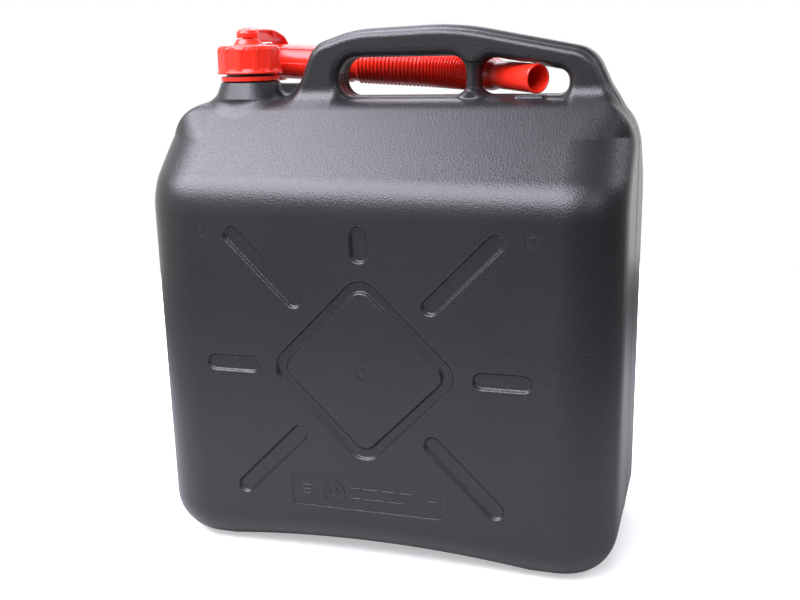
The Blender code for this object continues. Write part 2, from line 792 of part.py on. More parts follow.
def spout_ring(distance, radius, steps):
    """One ring of the spout, square to its centre line in plan."""
    x, y, turn = spout_point(distance)
    centre = Vector((x, y, SPOUT_Z_AT_CENTRE + SPOUT_RISE * x))
    along = Vector((math.cos(turn), -math.sin(turn), SPOUT_RISE * math.cos(turn))).normalized()
    side = along.cross(Vector((0, 0, 1))).normalized()
    up = side.cross(along)
    ring = []
    for i in range(steps):
        angle = 2 * math.pi * i / steps
        ring.append(centre + side * (radius * math.cos(angle)) + up * (radius * math.sin(angle)))
    return ring


def spout_tube(name, outer, inner, steps):
    """A tube along the spout from (distance, radius) pairs of its outer and its inner side."""
    rings = [spout_ring(distance, radius, steps) for distance, radius in outer]
    rings += [spout_ring(distance, radius, steps) for distance, radius in reversed(inner)]
    return skin(name, rings, closed=True)


def hose_middle():
    """The point on the spout's centre line that the hose bends about."""
    middle = BEND_RADIUS * SPOUT_TURN / 2
    x, y, _ = spout_point(middle)
    return x, y, SPOUT_Z_AT_CENTRE + SPOUT_RISE * x


def make_spout_inlet(material, pivot):
    """The rigid inlet tube with a flat recess on its front and a groove for its seal."""
    start = INLET_END_X - BEND_START_X
    end = HOSE_START_X - BEND_START_X - JOINT_GAP
    outer = (
        (start, INLET_RADIUS - 0.0010),
        (start + 0.0010, INLET_RADIUS),
        (start + 0.0030, INLET_RADIUS),
        (start + 0.0030, SEAL_GROOVE_RADIUS),
        (start + 0.0058, SEAL_GROOVE_RADIUS),
        (start + 0.0058, INLET_RADIUS),
        (end, INLET_RADIUS),
    )
    inner = ((start, INLET_BORE), (end, INLET_BORE))
    inlet = spout_tube("spout_inlet", outer, inner, 24)
    centre_z = SPOUT_Z_AT_CENTRE + SPOUT_RISE * (-0.084)
    drop = SPOUT_RISE * 0.029
    outline = stadium((-0.113, centre_z - drop), (-0.055, centre_z + drop), 0.0062, 4)
    face = SPOUT_Y - INLET_RADIUS
    recess = plate("recess", outline, ((face - 0.006, 0.0), (face + 0.0009, 0.0)))
    combine(inlet, recess, "DIFFERENCE")
    finish(inlet, "spout_inlet", material, pivot)


def make_spout_seal(material, pivot):
    """The ring seal in the inlet's groove."""
    start = INLET_END_X - BEND_START_X + 0.0034
    end = start + 0.0020
    outer = (
        (start, INLET_RADIUS),
        (start + 0.0005, INLET_RADIUS + 0.0004),
        (end - 0.0005, INLET_RADIUS + 0.0004),
        (end, INLET_RADIUS),
    )
    inner = ((start, SEAL_GROOVE_RADIUS + 0.0003), (end, SEAL_GROOVE_RADIUS + 0.0003))
    finish(spout_tube("spout_seal", outer, inner, 24), "spout_seal", material, pivot)


def make_spout_hose(material, pivot):
    """The corrugated hose. Its ridges here are coarser than the moulded ones."""
    start = HOSE_START_X - BEND_START_X
    end = BEND_RADIUS * SPOUT_TURN
    ridges = 17
    outer = []
    inner = []
    for i in range(2 * ridges + 1):
        distance = start + (end - start) * i / (2 * ridges)
        outer.append((distance, HOSE_RADIUS - HOSE_GROOVE * (1 - i % 2)))
    for i in range(9):
        inner.append((start + (end - start) * i / 8, HOSE_BORE))
    finish(spout_tube("spout_hose", outer, inner, 18), "spout_hose", material, pivot)


def make_spout_outlet(material, pivot):
    """The rigid outlet with the cuff that holds the hose."""
    start = BEND_RADIUS * SPOUT_TURN + JOINT_GAP
    end = BEND_RADIUS * SPOUT_TURN + OUTLET_LENGTH
    outer = (
        (start, CUFF_RADIUS),
        (start + CUFF_LENGTH - 0.001, CUFF_RADIUS),
        (start + CUFF_LENGTH, CUFF_RADIUS - 0.0006),
        (start + CUFF_LENGTH + 0.001, OUTLET_RADIUS),
        (end, OUTLET_RADIUS),
    )
    inner = (
        (start, CUFF_RADIUS - 0.0018),
        (start + CUFF_LENGTH - 0.002, CUFF_RADIUS - 0.0018),
        (start + CUFF_LENGTH + 0.001, OUTLET_BORE),
        (end, OUTLET_BORE),
    )
    finish(spout_tube("spout_outlet", outer, inner, 24), "spout_outlet", material, pivot)


def build():
    """Makes every piece of the can."""
    clear_scene()
    black = plastic("can_black", BLACK, 0.42)
    red = plastic("red_plastic", RED, 0.22)
    rubber = plastic("seal_rubber", RUBBER, 0.60)
    make_can_body(black)
    make_neck_ring(red)
    make_strap_band(red)
    make_strap_eyelet(red)
    make_screw_cap(red)
    make_cap_gasket(rubber)
    pivot = hose_middle()
    make_spout_inlet(red, pivot)
    make_spout_seal(rubber, pivot)
    make_spout_hose(red, pivot)
    make_spout_outlet(red, pivot)


build()
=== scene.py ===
"""Looks for the twenty litre jerry can: moulded black shell, red cap, strap and stowed spout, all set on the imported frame.

Metres, +Z up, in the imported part's own frame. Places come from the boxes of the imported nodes. The smooth moulded
pieces are made as distance fields, turned into meshes; the cap, the hose and the strap are swept grids.
"""

import math

import bpy
import numpy as np
from mathutils import Matrix, Vector


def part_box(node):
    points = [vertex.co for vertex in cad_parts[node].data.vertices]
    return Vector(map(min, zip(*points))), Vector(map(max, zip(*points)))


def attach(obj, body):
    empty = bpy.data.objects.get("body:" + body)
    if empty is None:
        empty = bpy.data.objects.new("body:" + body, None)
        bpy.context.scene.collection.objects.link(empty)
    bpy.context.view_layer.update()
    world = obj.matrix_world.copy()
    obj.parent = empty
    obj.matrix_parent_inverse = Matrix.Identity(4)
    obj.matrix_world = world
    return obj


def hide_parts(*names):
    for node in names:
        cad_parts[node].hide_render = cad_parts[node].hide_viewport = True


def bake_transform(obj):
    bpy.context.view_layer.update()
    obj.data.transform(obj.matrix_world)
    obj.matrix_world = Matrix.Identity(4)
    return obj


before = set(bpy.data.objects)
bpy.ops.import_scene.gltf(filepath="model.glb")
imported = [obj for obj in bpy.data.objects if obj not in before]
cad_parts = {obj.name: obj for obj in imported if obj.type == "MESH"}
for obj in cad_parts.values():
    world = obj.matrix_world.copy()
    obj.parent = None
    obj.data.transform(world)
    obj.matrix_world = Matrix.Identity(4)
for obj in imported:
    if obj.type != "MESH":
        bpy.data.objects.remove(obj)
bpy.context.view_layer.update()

# Every piece is made in mould coordinates, where x is 0 in the middle of the handle and the pattern, and is then
# moved by MOULD_SHIFT into the frame, where x is 0 in the middle of the whole can.
NECK_X = -0.1215
MOULD_SHIFT = Vector(((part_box("neck_ring")[0].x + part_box("neck_ring")[1].x) / 2 - NECK_X, 0.0, 0.0))


def mould_box(node):
    """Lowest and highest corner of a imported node, in mould coordinates."""
    low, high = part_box(node)
    return low - MOULD_SHIFT, high - MOULD_SHIFT


# Places read from the frame
CAN_LOW, CAN_HIGH = mould_box("can_body")
CAP_LOW, CAP_HIGH = mould_box("screw_cap")
RING_LOW, RING_HIGH = mould_box("neck_ring")
CUP_LOW, CUP_HIGH = mould_box("strap_eyelet")
INLET_LOW, INLET_HIGH = mould_box("spout_inlet")
OUTLET_LOW, OUTLET_HIGH = mould_box("spout_outlet")
SHELF_Z = RING_LOW.z - 0.0138
HALF_DEPTH = CAN_HIGH.y

# Tank
END_LEFT = -CAN_LOW.x
END_RIGHT_TOP = CAN_HIGH.x
END_RIGHT_LOW = END_RIGHT_TOP - 0.0015
END_BULGE = 0.004
BELT_BLEND = 0.003
CORNER_RADIUS = 0.050
SHELF_HALF_DEPTH = 0.0215
SHOULDER_Z = 0.2940
SHOULDER_ARC = 0.042
SHOULDER_ANGLE = math.atan2(HALF_DEPTH - SHELF_HALF_DEPTH, SHELF_Z - SHOULDER_Z)
SHOULDER_START_Z = SHOULDER_Z - SHOULDER_ARC * math.tan(SHOULDER_ANGLE / 2)
SHELF_EDGE = 0.0090
TOP_RADIUS_LEFT = 0.044
TOP_RADIUS_RIGHT = 0.038
BASE_RADIUS_SIDE = 0.034
BASE_RADIUS_END = 0.041
ARCH_RISE = 0.0075
ARCH_HALF_LENGTH = 0.125

# Recessed pattern
PATTERN_Z = 0.1605
RECESS_DEPTH = 0.0025
RECESS_WALL = 0.0026
SLOT_RADIUS = 0.0062
DIAMONDS = ((0.0770, 0.016), (0.0660, 0.010))
DIAGONAL_SLOT = (0.054, 0.1025)
SIDE_SLOT = (0.092, 0.123)
TOP_SLOT = (0.091, 0.105)
LABEL_Z = 0.0595
LABEL_SIZE = (0.125, 0.027)
LABEL_RADIUS = 0.0045
LABEL_DEPTH = 0.0010
LABEL_WALL = 0.0020
MARK_PLACES = ((0.128, 0.105), (-0.128, 0.105), (0.0, 0.0))
MARK_RADIUS = 0.0040
MARK_DEPTH = 0.00035

# Handle
HANDLE_HALF_DEPTH = 0.017
HANDLE_INSET = 0.0026
HANDLE_EDGE = 0.0055
RIM_HALF_DEPTH = 0.0105
RIM_EDGE = 0.004
HANDLE_FOOT_BLEND = 0.012
OPENINGS_MIDDLE_X = 0.0507
OPENINGS_HALF_LENGTH = 0.0900
OPENING_EDGE = 0.006
POST_FRONT_Y = -0.010
POST_BACK_Y = 0.0062

# Neck
NECK_RADIUS = 0.0192
NECK_BORE = 0.0164
NECK_FOOT_RADIUS = 0.0290
NECK_SEAT_RADIUS = 0.0235
NECK_SEAT_Z = SHELF_Z + 0.0133
NECK_RIM_Z = SHELF_Z + 0.0355
NECK_FOOT_BLEND = 0.007
WEB_TOP_Z = SHELF_Z + 0.0115
THREAD_PITCH = 0.006
THREAD_HEIGHT = 0.0014
THREAD_START_Z = SHELF_Z + 0.0235
THREAD_TURNS = 1.5

# Spout
SPOUT_Y = (INLET_LOW.y + INLET_HIGH.y) / 2
SPOUT_RISE = -0.065
SPOUT_Z_AT_CENTRE = SHELF_Z + 0.0206
SPOUT_TURN = math.radians(41)
BEND_RADIUS = 0.088
BEND_START_X = 0.0143
BEND_LENGTH = BEND_RADIUS * SPOUT_TURN
HOSE_START_X = -0.0420
HOSE_END = BEND_LENGTH - 0.0075
HOSE_RADIUS = 0.0148
HOSE_GROOVE = 0.0014
HOSE_BORE = 0.0118
HOSE_RIDGES = 34
INLET_RADIUS = 0.0142
INLET_BORE = 0.0122
CUFF_RADIUS = 0.0129
OUTLET_RADIUS = 0.01075
OUTLET_BORE = 0.0093
OUTLET_LENGTH = 0.0616

GRID_SCALE = 1.0


# Field tools


def smooth_union(a, b, blend):
    """Union of two fields with a soft join."""
    share = np.clip(0.5 + 0.5 * (b - a) / blend, 0.0, 1.0)
    return b + (a - b) * share - blend * share * (1.0 - share)


def smooth_max(a, b, blend):
    """Intersection of two fields with a softened edge."""
    return -smooth_union(-a, -b, blend)


def round_max(a, b, radius):
    """Intersection of two fields with a round edge of the given radius."""
    outer = np.hypot(np.maximum(a + radius, 0.0), np.maximum(b + radius, 0.0))
    return np.minimum(np.maximum(a, b), -radius) + outer


def round_min(a, b, radius):
    """Union of two fields with a round inner corner of the given radius."""
    return -round_max(-a, -b, radius)


def smoothstep(value):
    """Soft step from 0 to 1."""
    value = np.clip(value, 0.0, 1.0)
    return value * value * (3.0 - 2.0 * value)


def rounded_box(a, b, half_a, half_b, radius):
    """Distance to a rectangle with round corners, about the origin."""
    over_a = np.abs(a) - half_a + radius
    over_b = np.abs(b) - half_b + radius
    outer = np.hypot(np.maximum(over_a, 0.0), np.maximum(over_b, 0.0))
    return outer + np.minimum(np.maximum(over_a, over_b), 0.0) - radius


def segment_distance(a, b, start, end):
    """Distance to a straight segment in the plane."""
    along = (end[0] - start[0], end[1] - start[1])
    length = along[0] ** 2 + along[1] ** 2
    share = np.clip(((a - start[0]) * along[0] + (b - start[1]) * along[1]) / length, 0.0, 1.0)
    return np.hypot(a - start[0] - share * along[0], b - start[1] - share * along[1])


def rounded_polygon(corners, steps=8):
    """Points of a polygon given as (a, b, fillet radius) corners."""
    points = []
    count = len(corners)
    for i, (a, b, radius) in enumerate(corners):
        here = Vector((a, b))
        if radius == 0:
            points.append(tuple(here))
            continue
        to_last = (Vector(corners[i - 1][:2]) - here).normalized()
        to_next = (Vector(corners[(i + 1) % count][:2]) - here).normalized()
        half_angle = to_last.angle(to_next) / 2
        centre = here + (to_last + to_next).normalized() * (radius / math.sin(half_angle))
        first = here + to_last * (radius / math.tan(half_angle)) - centre
        last = here + to_next * (radius / math.tan(half_angle)) - centre
        sweep = -first.angle_signed(last)
        for k in range(steps + 1):
            turn = sweep * k / steps
            arm = Matrix.Rotation(turn, 2) @ first
            points.append((centre.x + arm.x, centre.y + arm.y))
    return points


class Outline:
    """Signed distance to a flat outline, kept on a fine table so that it is quick to read."""

    STEP = 0.0005

    def __init__(self, points, margin=0.03):
        corners = np.array(points)
        self.low = corners.min(0) - margin
        size = corners.max(0) + margin - self.low
        counts = np.ceil(size / self.STEP).astype(int) + 1
        a = self.low[0] + self.STEP * np.arange(counts[0])[:, None]
        b = self.low[1] + self.STEP * np.arange(counts[1])[None, :]
        nearest = np.full(counts, 1.0)
        inside = np.zeros(counts, bool)
        for start, end in zip(corners, np.roll(corners, -1, axis=0)):
            nearest = np.minimum(nearest, segment_distance(a, b, start, end))
            if start[1] != end[1]:
                crosses = (start[1] > b) != (end[1] > b)
                at = start[0] + (b - start[1]) * (end[0] - start[0]) / (end[1] - start[1])
                inside ^= crosses & (a < at)
        self.table = np.where(inside, -nearest, nearest)

    def distance(self, a, b):
        """Signed distance at points, negative inside."""
        return read_table(self.table, self.low, self.STEP, a, b)


def read_table(table, low, step, a, b):
    """Reads a regular table between its points."""
    across = np.clip((a - low[0]) / step, 0, table.shape[0] - 1.001)
    up = np.clip((b - low[1]) / step, 0, table.shape[1] - 1.001)
    i = across.astype(int)
    j = up.astype(int)
    s = across - i
    t = up - j
    near = table[i, j] * (1 - t) + table[i, j + 1] * t
    far = table[i + 1, j] * (1 - t) + table[i + 1, j + 1] * t
    return near * (1 - s) + far * s


# From a field to a mesh


def graded(*spans):
    """Grid lines over (start, end, spacing) spans that follow on from each other."""
    lines = []
    for start, end, spacing in spans:
        count = max(1, round((end - start) / (spacing * GRID_SCALE)))
        lines += [start + (end - start) * i / count for i in range(count)]
    return np.array(lines + [spans[-1][1]])


def even(low, high, spacing):
    """Evenly spaced grid lines."""
    return graded((low, high, spacing))


def sampled(field, xs, ys, zs):
    """The field's values on a grid, made in slabs."""
    values = np.empty((len(xs), len(ys), len(zs)), np.float32)
    slab = 12
    for i in range(0, len(xs), slab):
        x, y, z = np.meshgrid(xs[i : i + slab], ys, zs, indexing="ij")
        values[i : i + slab] = field(x, y, z)
    return values


def surface_net(field, xs, ys, zs):
    """Vertices and quads of the field's zero surface, one vertex in each crossed cell."""
    values = sampled(field, xs, ys, zs)
    lines = (xs, ys, zs)
    size = np.array(values.shape)
    stride = (size[1] * size[2], size[2], 1)
    places = []
    cells = []
    for axis in range(3):
        other = [n for n in range(3) if n != axis]
        below = np.moveaxis(values, axis, 0)[:-1]
        above = np.moveaxis(values, axis, 0)[1:]
        hit = np.nonzero((below < 0) != (above < 0))
        low_value = below[hit].astype(float)
        high_value = above[hit].astype(float)
        share = low_value / (low_value - high_value)
        index = [None, None, None]
        index[axis] = hit[0]
        index[other[0]] = hit[1]
        index[other[1]] = hit[2]
        place = np.stack([lines[n][index[n]] for n in range(3)], 1)
        place[:, axis] += share * (lines[axis][index[axis] + 1] - lines[axis][index[axis]])
        base = sum(index[n] * stride[n] for n in range(3))
        one = stride[other[0]]
        two = stride[other[1]]
        ring = np.stack([base - one - two, base - two, base, base - one], 1)
        flip = (low_value < 0) == (axis == 1)
        ring[flip] = ring[flip][:, ::-1]
        places.append(place)
        cells.append(ring)
    place = np.concatenate(places)
    cell = np.concatenate(cells)
    _, inverse = np.unique(cell.ravel(), return_inverse=True)
    count = np.bincount(inverse)
    vertices = np.empty((len(count), 3))
    for n in range(3):
        vertices[:, n] = np.bincount(inverse, weights=np.repeat(place[:, n], 4)) / count
    return vertices, inverse.reshape(-1, 4)


def slope_of(field, points, step=0.0003):
    """Value and gradient of a field at points."""
    gradient = np.empty_like(points)
    for n in range(3):
        shift = np.zeros(3)
        shift[n] = step
        ahead = field(*(points + shift).T)
        behind = field(*(points - shift).T)
        gradient[:, n] = (ahead - behind) / (2 * step)
    return field(*points.T), gradient


def pulled_to_surface(field, points, rounds=2):
    """Moves points along the gradient onto the field's zero surface."""
    for _ in range(rounds):
        value, gradient = slope_of(field, points)
        steepness = np.maximum((gradient**2).sum(1), 0.25)
        move = np.clip(value / steepness, -0.0008, 0.0008)
        points = points - gradient * move[:, None]
    return points


def link_mesh(name, vertices, faces):
    """A mesh object from arrays of vertices and of equal-sided faces."""
    mesh = bpy.data.meshes.new(name)
    sides = faces.shape[1]
    mesh.vertices.add(len(vertices))
    mesh.vertices.foreach_set("co", vertices.astype(np.float32).ravel())
    mesh.loops.add(faces.size)
    mesh.loops.foreach_set("vertex_index", faces.astype(np.int32).ravel())
    mesh.polygons.add(len(faces))
    mesh.polygons.foreach_set("loop_start", np.arange(0, faces.size, sides, dtype=np.int32))
    mesh.update(calc_edges=True)
    obj = bpy.data.objects.new(name, mesh)
    bpy.context.scene.collection.objects.link(obj)
    return obj


def thinned(obj, triangles):
    """Collapses the least needed edges until about so many triangles are left."""
    now = 2 * len(obj.data.polygons)
    if now <= triangles:
        return
    modifier = obj.modifiers.new("thin", "DECIMATE")
    modifier.ratio = triangles / now
    graph = bpy.context.evaluated_depsgraph_get()
    mesh = bpy.data.meshes.new_from_object(obj.evaluated_get(graph))
    obj.modifiers.clear()
    obj.data = mesh


def moulded(name, field, xs, ys, zs, triangles):
    """A smooth closed mesh of a field, with its shading normals taken from the field."""
    vertices, quads = surface_net(field, xs, ys, zs)
    vertices = pulled_to_surface(field, vertices)
    obj = link_mesh(name, vertices, quads)
    thinned(obj, triangles)
    mesh = obj.data
    mesh.name = name
    places = np.empty(len(mesh.vertices) * 3, np.float32)
    mesh.vertices.foreach_get("co", places)
    places = pulled_to_surface(field, places.reshape(-1, 3).astype(float), 1)
    mesh.vertices.foreach_set("co", places.astype(np.float32).ravel())
    mesh.update()
    _, gradient = slope_of(field, places)
    gradient /= np.maximum(np.linalg.norm(gradient, axis=1), 1e-9)[:, None]
    mesh.shade_smooth()
    mesh.normals_split_custom_set_from_vertices([tuple(normal) for normal in gradient])
    return obj


# The can's shell


def stadium_distance(a, b, start, end, radius):
    """Distance to a slot outline with round ends."""
    return segment_distance(a, b, start, end) - radius


def diamond_distance(a, b, half_diagonal, radius):
    """Distance to a square on its corner, with round corners."""
    turned_a = (a + b) / math.sqrt(2)
    turned_b = (a - b) / math.sqrt(2)
    half = half_diagonal / math.sqrt(2)
    return rounded_box(turned_a, turned_b, half, half, radius)


def pattern_depths():
    """Table of the depth of the recessed pattern over the (x, z) face of the tank."""
    step = 0.0005
    low = np.array((-0.140, 0.030))
    x = low[0] + step * np.arange(561)[:, None]
    z = low[1] + step * np.arange(501)[None, :]
    b = z - PATTERN_Z
    channel = np.maximum(diamond_distance(x, b, *DIAMONDS[0]), -diamond_distance(x, b, *DIAMONDS[1]))
    near, far = DIAGONAL_SLOT
    for side in (1, -1):
        for up in (1, -1):
            slot = stadium_distance(x, b, (side * near, up * near), (side * far, up * far), SLOT_RADIUS)
            channel = np.minimum(channel, slot)
        slot = stadium_distance(x, b, (side * SIDE_SLOT[0], 0.0), (side * SIDE_SLOT[1], 0.0), SLOT_RADIUS)
        channel = np.minimum(channel, slot)
    slot = stadium_distance(x, b, (0.0, TOP_SLOT[0]), (0.0, TOP_SLOT[1]), SLOT_RADIUS)
    channel = np.minimum(channel, slot)
    depth = RECESS_DEPTH * smoothstep(0.5 - channel / RECESS_WALL)
    label = rounded_box(x, z - LABEL_Z, LABEL_SIZE[0] / 2, LABEL_SIZE[1] / 2, LABEL_RADIUS)
    depth += LABEL_DEPTH * smoothstep(0.5 - label / LABEL_WALL)
    for mark_x, mark_z in MARK_PLACES:
        away = np.hypot(x - mark_x, b - mark_z) - MARK_RADIUS
        depth += MARK_DEPTH * np.exp(-((away / 0.0008) ** 2))
    return depth, low, step


def handle_outline():
    """The handle's outer outline in (x, z)."""
    root = SHELF_Z - 0.019
    corners = (
        (-0.088, root, 0),
        (0.178, root, 0),
        (0.1755, SHELF_Z - 0.001, 0.020),
        (0.1590, SHELF_Z + 0.0340, 0.026),
        (0.055, SHELF_Z + 0.0548, 0.200),
        (-0.026, SHELF_Z + 0.0522, 0.100),
        (-0.062, SHELF_Z + 0.0410, 0.024),
        (-0.080, SHELF_Z - 0.001, 0.020),
    )
    return rounded_polygon(corners)


def hand_opening():
    """The opening for the hand in (x, z)."""
    corners = (
        (-0.0395, SHELF_Z + 0.001, 0.012),
        (0.0616, SHELF_Z + 0.001, 0.009),
        (0.0616, SHELF_Z + 0.031, 0.012),
        (-0.0395, SHELF_Z + 0.031, 0.0155),
    )
    return rounded_polygon(corners)


def spout_opening():
    """The smaller opening that holds the spout's outlet, in (x, z)."""
    corners = (
        (0.0724, SHELF_Z + 0.001, 0.009),
        (0.1410, SHELF_Z + 0.001, 0.0085),
        (0.1410, SHELF_Z + 0.0185, 0.0085),
        (0.0724, SHELF_Z + 0.0315, 0.012),
    )
    return rounded_polygon(corners)


def post_relief():
    """The cut-back part round the slim post, in (x, z)."""
    corners = (
        (0.0520, SHELF_Z + 0.0065, 0.004),
        (0.0820, SHELF_Z + 0.0065, 0.004),
        (0.0820, SHELF_Z + 0.0245, 0.004),
        (0.0520, SHELF_Z + 0.0265, 0.004),
    )
    return rounded_polygon(corners)


PATTERN, PATTERN_LOW, PATTERN_STEP = pattern_depths()
HANDLE = Outline(handle_outline())
HAND_OPENING = Outline(hand_opening())
SPOUT_OPENING = Outline(spout_opening())
POST_RELIEF = Outline(post_relief())


def shoulder_depth(z):
    """Half depth of the tank's section at a height, and how fast it shrinks going up."""
    arc_end_z = SHOULDER_START_Z + SHOULDER_ARC * math.sin(SHOULDER_ANGLE)
    rise = np.clip(z - SHOULDER_START_Z, 0.0, arc_end_z - SHOULDER_START_Z)
    drop = np.sqrt(SHOULDER_ARC**2 - rise**2)
    shrink = rise / drop
    past = np.maximum(z - arc_end_z, 0.0)
    depth = HALF_DEPTH - SHOULDER_ARC + drop - past * math.tan(SHOULDER_ANGLE)
    return depth, shrink


def tank_field(x, y, z):
    """The tank with its flat end belts, sloped shoulders, round base and recessed pattern."""
    share = np.clip((z - BASE_RADIUS_SIDE) / (SHOULDER_Z - BASE_RADIUS_SIDE), 0.0, 1.0)
    end = np.where(x > 0, END_RIGHT_LOW + (END_RIGHT_TOP - END_RIGHT_LOW) * share, END_LEFT)
    depth, shrink = shoulder_depth(z)
    depth = np.maximum(depth, 0.004)
    radius = np.minimum(CORNER_RADIUS, depth - 0.001)
    over_x = np.abs(x) - (end + END_BULGE) + radius
    over_y = np.abs(y) - depth + radius
    outer = np.hypot(np.maximum(over_x, 0.0), np.maximum(over_y, 0.0))
    side = outer + np.minimum(np.maximum(over_x, over_y), 0.0) - radius
    facing = np.where(over_x > 0, np.maximum(over_y, 0.0) / np.maximum(outer, 1e-6), 1.0)
    side = side / np.sqrt(1.0 + (shrink * facing) ** 2)
    arch = ARCH_RISE * np.maximum(1.0 - (x / ARCH_HALF_LENGTH) ** 2, 0.0)
    below = arch - z
    above = z - SHELF_Z
    top_radius = np.where(x > 0, TOP_RADIUS_RIGHT, TOP_RADIUS_LEFT)
    wall = round_max(round_max(side, above, SHELF_EDGE), below, BASE_RADIUS_SIDE)
    cap = round_max(round_max(np.abs(x) - end, above, top_radius), below, BASE_RADIUS_END)
    body = smooth_max(wall, cap, BELT_BLEND)
    faces = np.abs(y) > 0.078
    if faces.any():
        recess = read_table(PATTERN, PATTERN_LOW, PATTERN_STEP, x[faces], z[faces])
        body[faces] += recess
    return body


def spout_axis(distance):
    """Centre line of the spout at a distance past the start of its bend: place and direction."""
    turn = min(max(distance / BEND_RADIUS, 0.0), SPOUT_TURN)
    straight = min(distance, 0.0)
    past = max(distance - BEND_LENGTH, 0.0)
    x = BEND_START_X + straight + BEND_RADIUS * math.sin(turn) + past * math.cos(turn)
    y = SPOUT_Y - BEND_RADIUS * (1 - math.cos(turn)) - past * math.sin(turn)
    place = Vector((x, y, SPOUT_Z_AT_CENTRE + SPOUT_RISE * x))
    return place, Vector((math.cos(turn), -math.sin(turn), SPOUT_RISE * math.cos(turn))).normalized()


def along_and_off(x, y, z, place, direction):
    """Distance along a line and away from it."""
    gap = (x - place.x, y - place.y, z - place.z)
    along = gap[0] * direction.x + gap[1] * direction.y + gap[2] * direction.z
    off = np.sqrt(np.maximum(gap[0] ** 2 + gap[1] ** 2 + gap[2] ** 2 - along**2, 1e-12))
    return along, off


def spout_room(x, y, z):
    """Room for the stowed spout where it passes through the handle."""
    place, direction = spout_axis(BEND_LENGTH)
    along, off = along_and_off(x, y, z, place, direction)
    radius = np.where(along < 0.019, CUFF_RADIUS, OUTLET_RADIUS) + 0.0011
    straight = np.maximum(off - radius, np.maximum(-along, along - OUTLET_LENGTH - 0.006))
    swing = np.hypot(x - BEND_START_X, y - (SPOUT_Y - BEND_RADIUS)) - BEND_RADIUS
    lift = z - (SPOUT_Z_AT_CENTRE + SPOUT_RISE * x)
    bend = np.maximum(np.hypot(swing, lift) - HOSE_RADIUS - 0.001, np.maximum(along, BEND_START_X - x))
    return np.minimum(straight, bend)


def handle_field(x, y, z):
    """The handle with its rim bead, its two openings and the slim post between them."""
    outline = HANDLE.distance(x, z)
    across = np.abs(y)
    slab = round_max(outline + HANDLE_INSET, across - HANDLE_HALF_DEPTH, HANDLE_EDGE)
    rim = round_max(outline, across - RIM_HALF_DEPTH, RIM_EDGE)
    handle = smooth_union(slab, rim, 0.0012)
    relief = POST_RELIEF.distance(x, z)
    front = np.maximum(relief, y - POST_FRONT_Y)
    back = np.maximum(relief, POST_BACK_Y - y)
    handle = round_max(handle, -np.minimum(front, back), 0.0025)
    ridge = 0.0007 * np.exp(-((y / 0.0012) ** 2))
    flare = 0.0012 * smoothstep((across - 0.009) / 0.008)
    opening = np.minimum(HAND_OPENING.distance(x, z), SPOUT_OPENING.distance(x, z)) + ridge - flare
    handle = round_max(handle, -opening, OPENING_EDGE)
    return round_max(handle, -spout_room(x, y, z), 0.0015)


def neck_field(x, y, z):
    """The neck's conical foot, its tube and its screw ridge."""
    off = np.hypot(x - NECK_X, y)
    lean = (NECK_FOOT_RADIUS - NECK_SEAT_RADIUS) / (NECK_SEAT_Z - SHELF_Z)
    cone_radius = NECK_FOOT_RADIUS - lean * np.maximum(z - SHELF_Z, 0.0)
    cone = round_max((off - cone_radius) / math.hypot(1.0, lean), z - NECK_SEAT_Z, 0.0012)
    turn = np.arctan2(y, x - NECK_X) / (2 * math.pi)
    rise = (z - THREAD_START_Z) / THREAD_PITCH
    start_to_end = rise - (rise - turn - np.round(rise - turn))
    near = np.abs(rise - turn - np.round(rise - turn)) * THREAD_PITCH
    inside_run = smoothstep(start_to_end * 6) * smoothstep((THREAD_TURNS - start_to_end) * 6)
    ridge = THREAD_HEIGHT * smoothstep(1.4 - near / 0.0012) * inside_run
    tube = round_max(off - NECK_RADIUS - ridge, z - NECK_RIM_Z, 0.0008)
    neck = smooth_union(cone, tube, 0.0008)
    return neck


def web_field(x, y, z):
    """The thin plate that joins the neck's foot to the handle's leg."""
    plate = rounded_box(x + 0.087, z - (WEB_TOP_Z - 0.010), 0.019, 0.010, 0.003)
    return round_max(plate, np.abs(y) - 0.0019, 0.0009)


def saddle_field(x, y, z):
    """The low cradle on the shelf, under the spout's outlet."""
    plate = rounded_box(x - 0.112, y + 0.012, 0.011, 0.0045, 0.002)
    return round_max(plate, z - (SHELF_Z + 0.0012), 0.0010)


def shell_field(x, y, z):
    """The whole moulded shell as a solid with a blind neck."""
    body = tank_field(x, y, z)
    seam = 0.00035 * np.exp(-((y / 0.0007) ** 2))
    body = body - seam
    high = z > SHELF_Z - 0.045
    if not high.any():
        return body
    px = x[high]
    py = y[high]
    pz = z[high]
    off_middle = np.abs(px - OPENINGS_MIDDLE_X) - OPENINGS_HALF_LENGTH
    foot_blend = 0.0015 + HANDLE_FOOT_BLEND * smoothstep(0.5 + off_middle / 0.010)
    part = smooth_union(body[high], handle_field(px, py, pz), foot_blend)
    by_neck = px < -0.060
    if by_neck.any():
        near = (px[by_neck], py[by_neck], pz[by_neck])
        neck = smooth_union(part[by_neck], neck_field(*near), NECK_FOOT_BLEND)
        neck = smooth_union(neck, web_field(*near), 0.004)
        off = np.hypot(near[0] - NECK_X, near[1])
        bore = np.maximum(off - NECK_BORE, SHELF_Z - 0.010 - near[2])
        part[by_neck] = round_max(neck, -bore, 0.0007)
    part = smooth_union(part, saddle_field(px, py, pz), 0.002)
    body[high] = part
    return body


